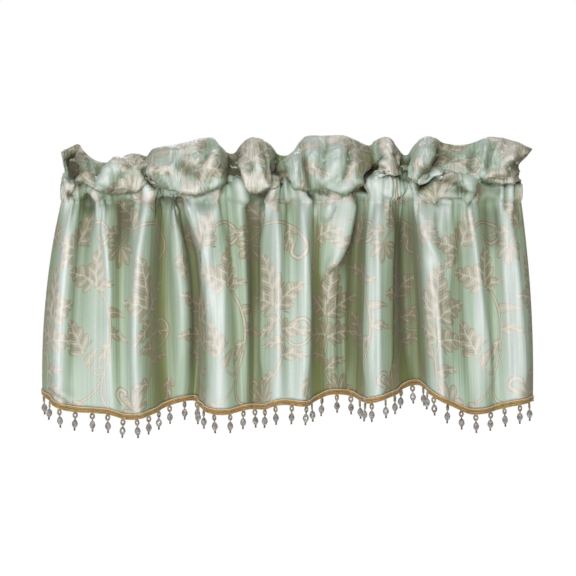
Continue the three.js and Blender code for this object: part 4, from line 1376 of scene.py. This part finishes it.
looks = (
    (goldBraid, braidMaterial(), "braid"),
    (threadLoops, beadMaterial("bronzeSeedBeads", "#a09580", "#5a4c38", 0.25, 0.0), "braid"),
    (glassDrops, beadMaterial("smokyGlass", "#c9c5c0", "#6b645e", 0.08, 0.5), "glass_drops"),
    (seedBeads, beadMaterial("darkSeedGlass", "#6a5a48", "#33291f", 0.2, 0.0), "glass_drops"),
)
for piece, material, slot in looks:
    piece.data.materials.append(material)
    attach(piece, "root")
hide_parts("beaded_braid")


stageSizes = {
    # in metres: the floor, its rim turned down, and where the lamps point
    "radius": 2.4, "centreY": -0.9, "height": -0.8, "rim": 0.03, "rimDrop": 0.02,
    "aim": (0, 0, -0.15), "rearAim": (0, 0.2, -0.3),
    "paper": "#fbfbfa", "floorGlow": 0.45, "skyLight": 0.3,
    # the picture's width in pixels, and the sensor's in millimetres
    "pixels": 576, "sensor": 36,
}


def makeStage():
    # a round white paper floor
    s = stageSizes
    select()
    bpy.ops.mesh.primitive_circle_add(
        vertices=96, radius=s["radius"], fill_type="NGON", location=(0, s["centreY"], s["height"]))
    floor = bpy.context.object
    floor.name = "paleFloor"
    bpy.ops.object.transform_apply(location=True, rotation=True, scale=True)
    bpy.ops.object.mode_set(mode="EDIT")
    bpy.ops.mesh.select_all(action="SELECT")
    bpy.ops.mesh.inset(thickness=s["rim"])
    bpy.ops.object.mode_set(mode="OBJECT")
    for vertex in floor.data.vertices:
        if math.hypot(vertex.co.x, vertex.co.y - s["centreY"]) > s["radius"] - s["rim"] / 3:
            vertex.co.z -= s["rimDrop"]
    paper, add = newMaterial("palePaper")
    add("OutputMaterial", add("BsdfPrincipled", sockets={
        "Base Color": colour(s["paper"]), "Roughness": 0.9,
        "Emission Color": colour(s["paper"]), "Emission Strength": s["floorGlow"]}))
    floor.data.materials.append(paper)
    floor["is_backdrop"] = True


def makeStudioSky():
    # white behind the object, dimmer as a light
    world = bpy.data.worlds.new("studio")
    world.use_nodes = True
    add = nodeAdder(world.node_tree)
    strength = add("MAXIMUM", add("LightPath").outputs["Is Camera Ray"], stageSizes["skyLight"])
    add("OutputWorld", add("Background", colour("#ffffff"), strength))
    bpy.context.scene.world = world


def addLamp(name, place, aim, size, power):
    lampData = bpy.data.lights.new(name, "AREA")
    lampData.shape = "RECTANGLE"
    lampData.size, lampData.size_y = size
    lampData.energy = power
    lamp = bpy.data.objects.new(name, lampData)
    lamp.location = place
    lamp.rotation_euler = (Vector(aim) - Vector(place)).to_track_quat("-Z", "Y").to_euler()
    bpy.context.scene.collection.objects.link(lamp)


def makeCameraAndLight():
    s = stageSizes
    bpy.context.scene.view_settings.view_transform = "Standard"
    scale = sight["unit"] * millimetre
    distance = sight["distance"] * millimetre
    cameraData = bpy.data.cameras.new("camera")
    cameraData.sensor_width = s["sensor"]
    cameraData.lens = s["sensor"] * distance / (s["pixels"] * scale)
    camera = bpy.data.objects.new("camera", cameraData)
    camera.location = ((centreAcross - originAcross) * scale, -distance, (originDown - centreDown) * scale)
    camera.rotation_euler = (math.pi / 2, 0, 0)
    bpy.context.scene.collection.objects.link(camera)
    bpy.context.scene.camera = camera
    addLamp("frontStrip", (-0.4, -2.3, 0.05), s["aim"], (0.42, 1.3), 29)
    addLamp("overheadSoftbox", (-0.2, -1.5, 1.5), s["aim"], (1.3, 0.7), 14)
    addLamp("rearSoftbox", (0.2, 1.6, 1.5), s["rearAim"], (1.6, 0.8), 22)


makeStage()
makeStudioSky()
makeCameraAndLight()
print("stage, camera and light")

({"cad": [[float(x) for x in corner] for corner in cadBox],
           "visual": [[float(x) for x in corner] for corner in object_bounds()]})
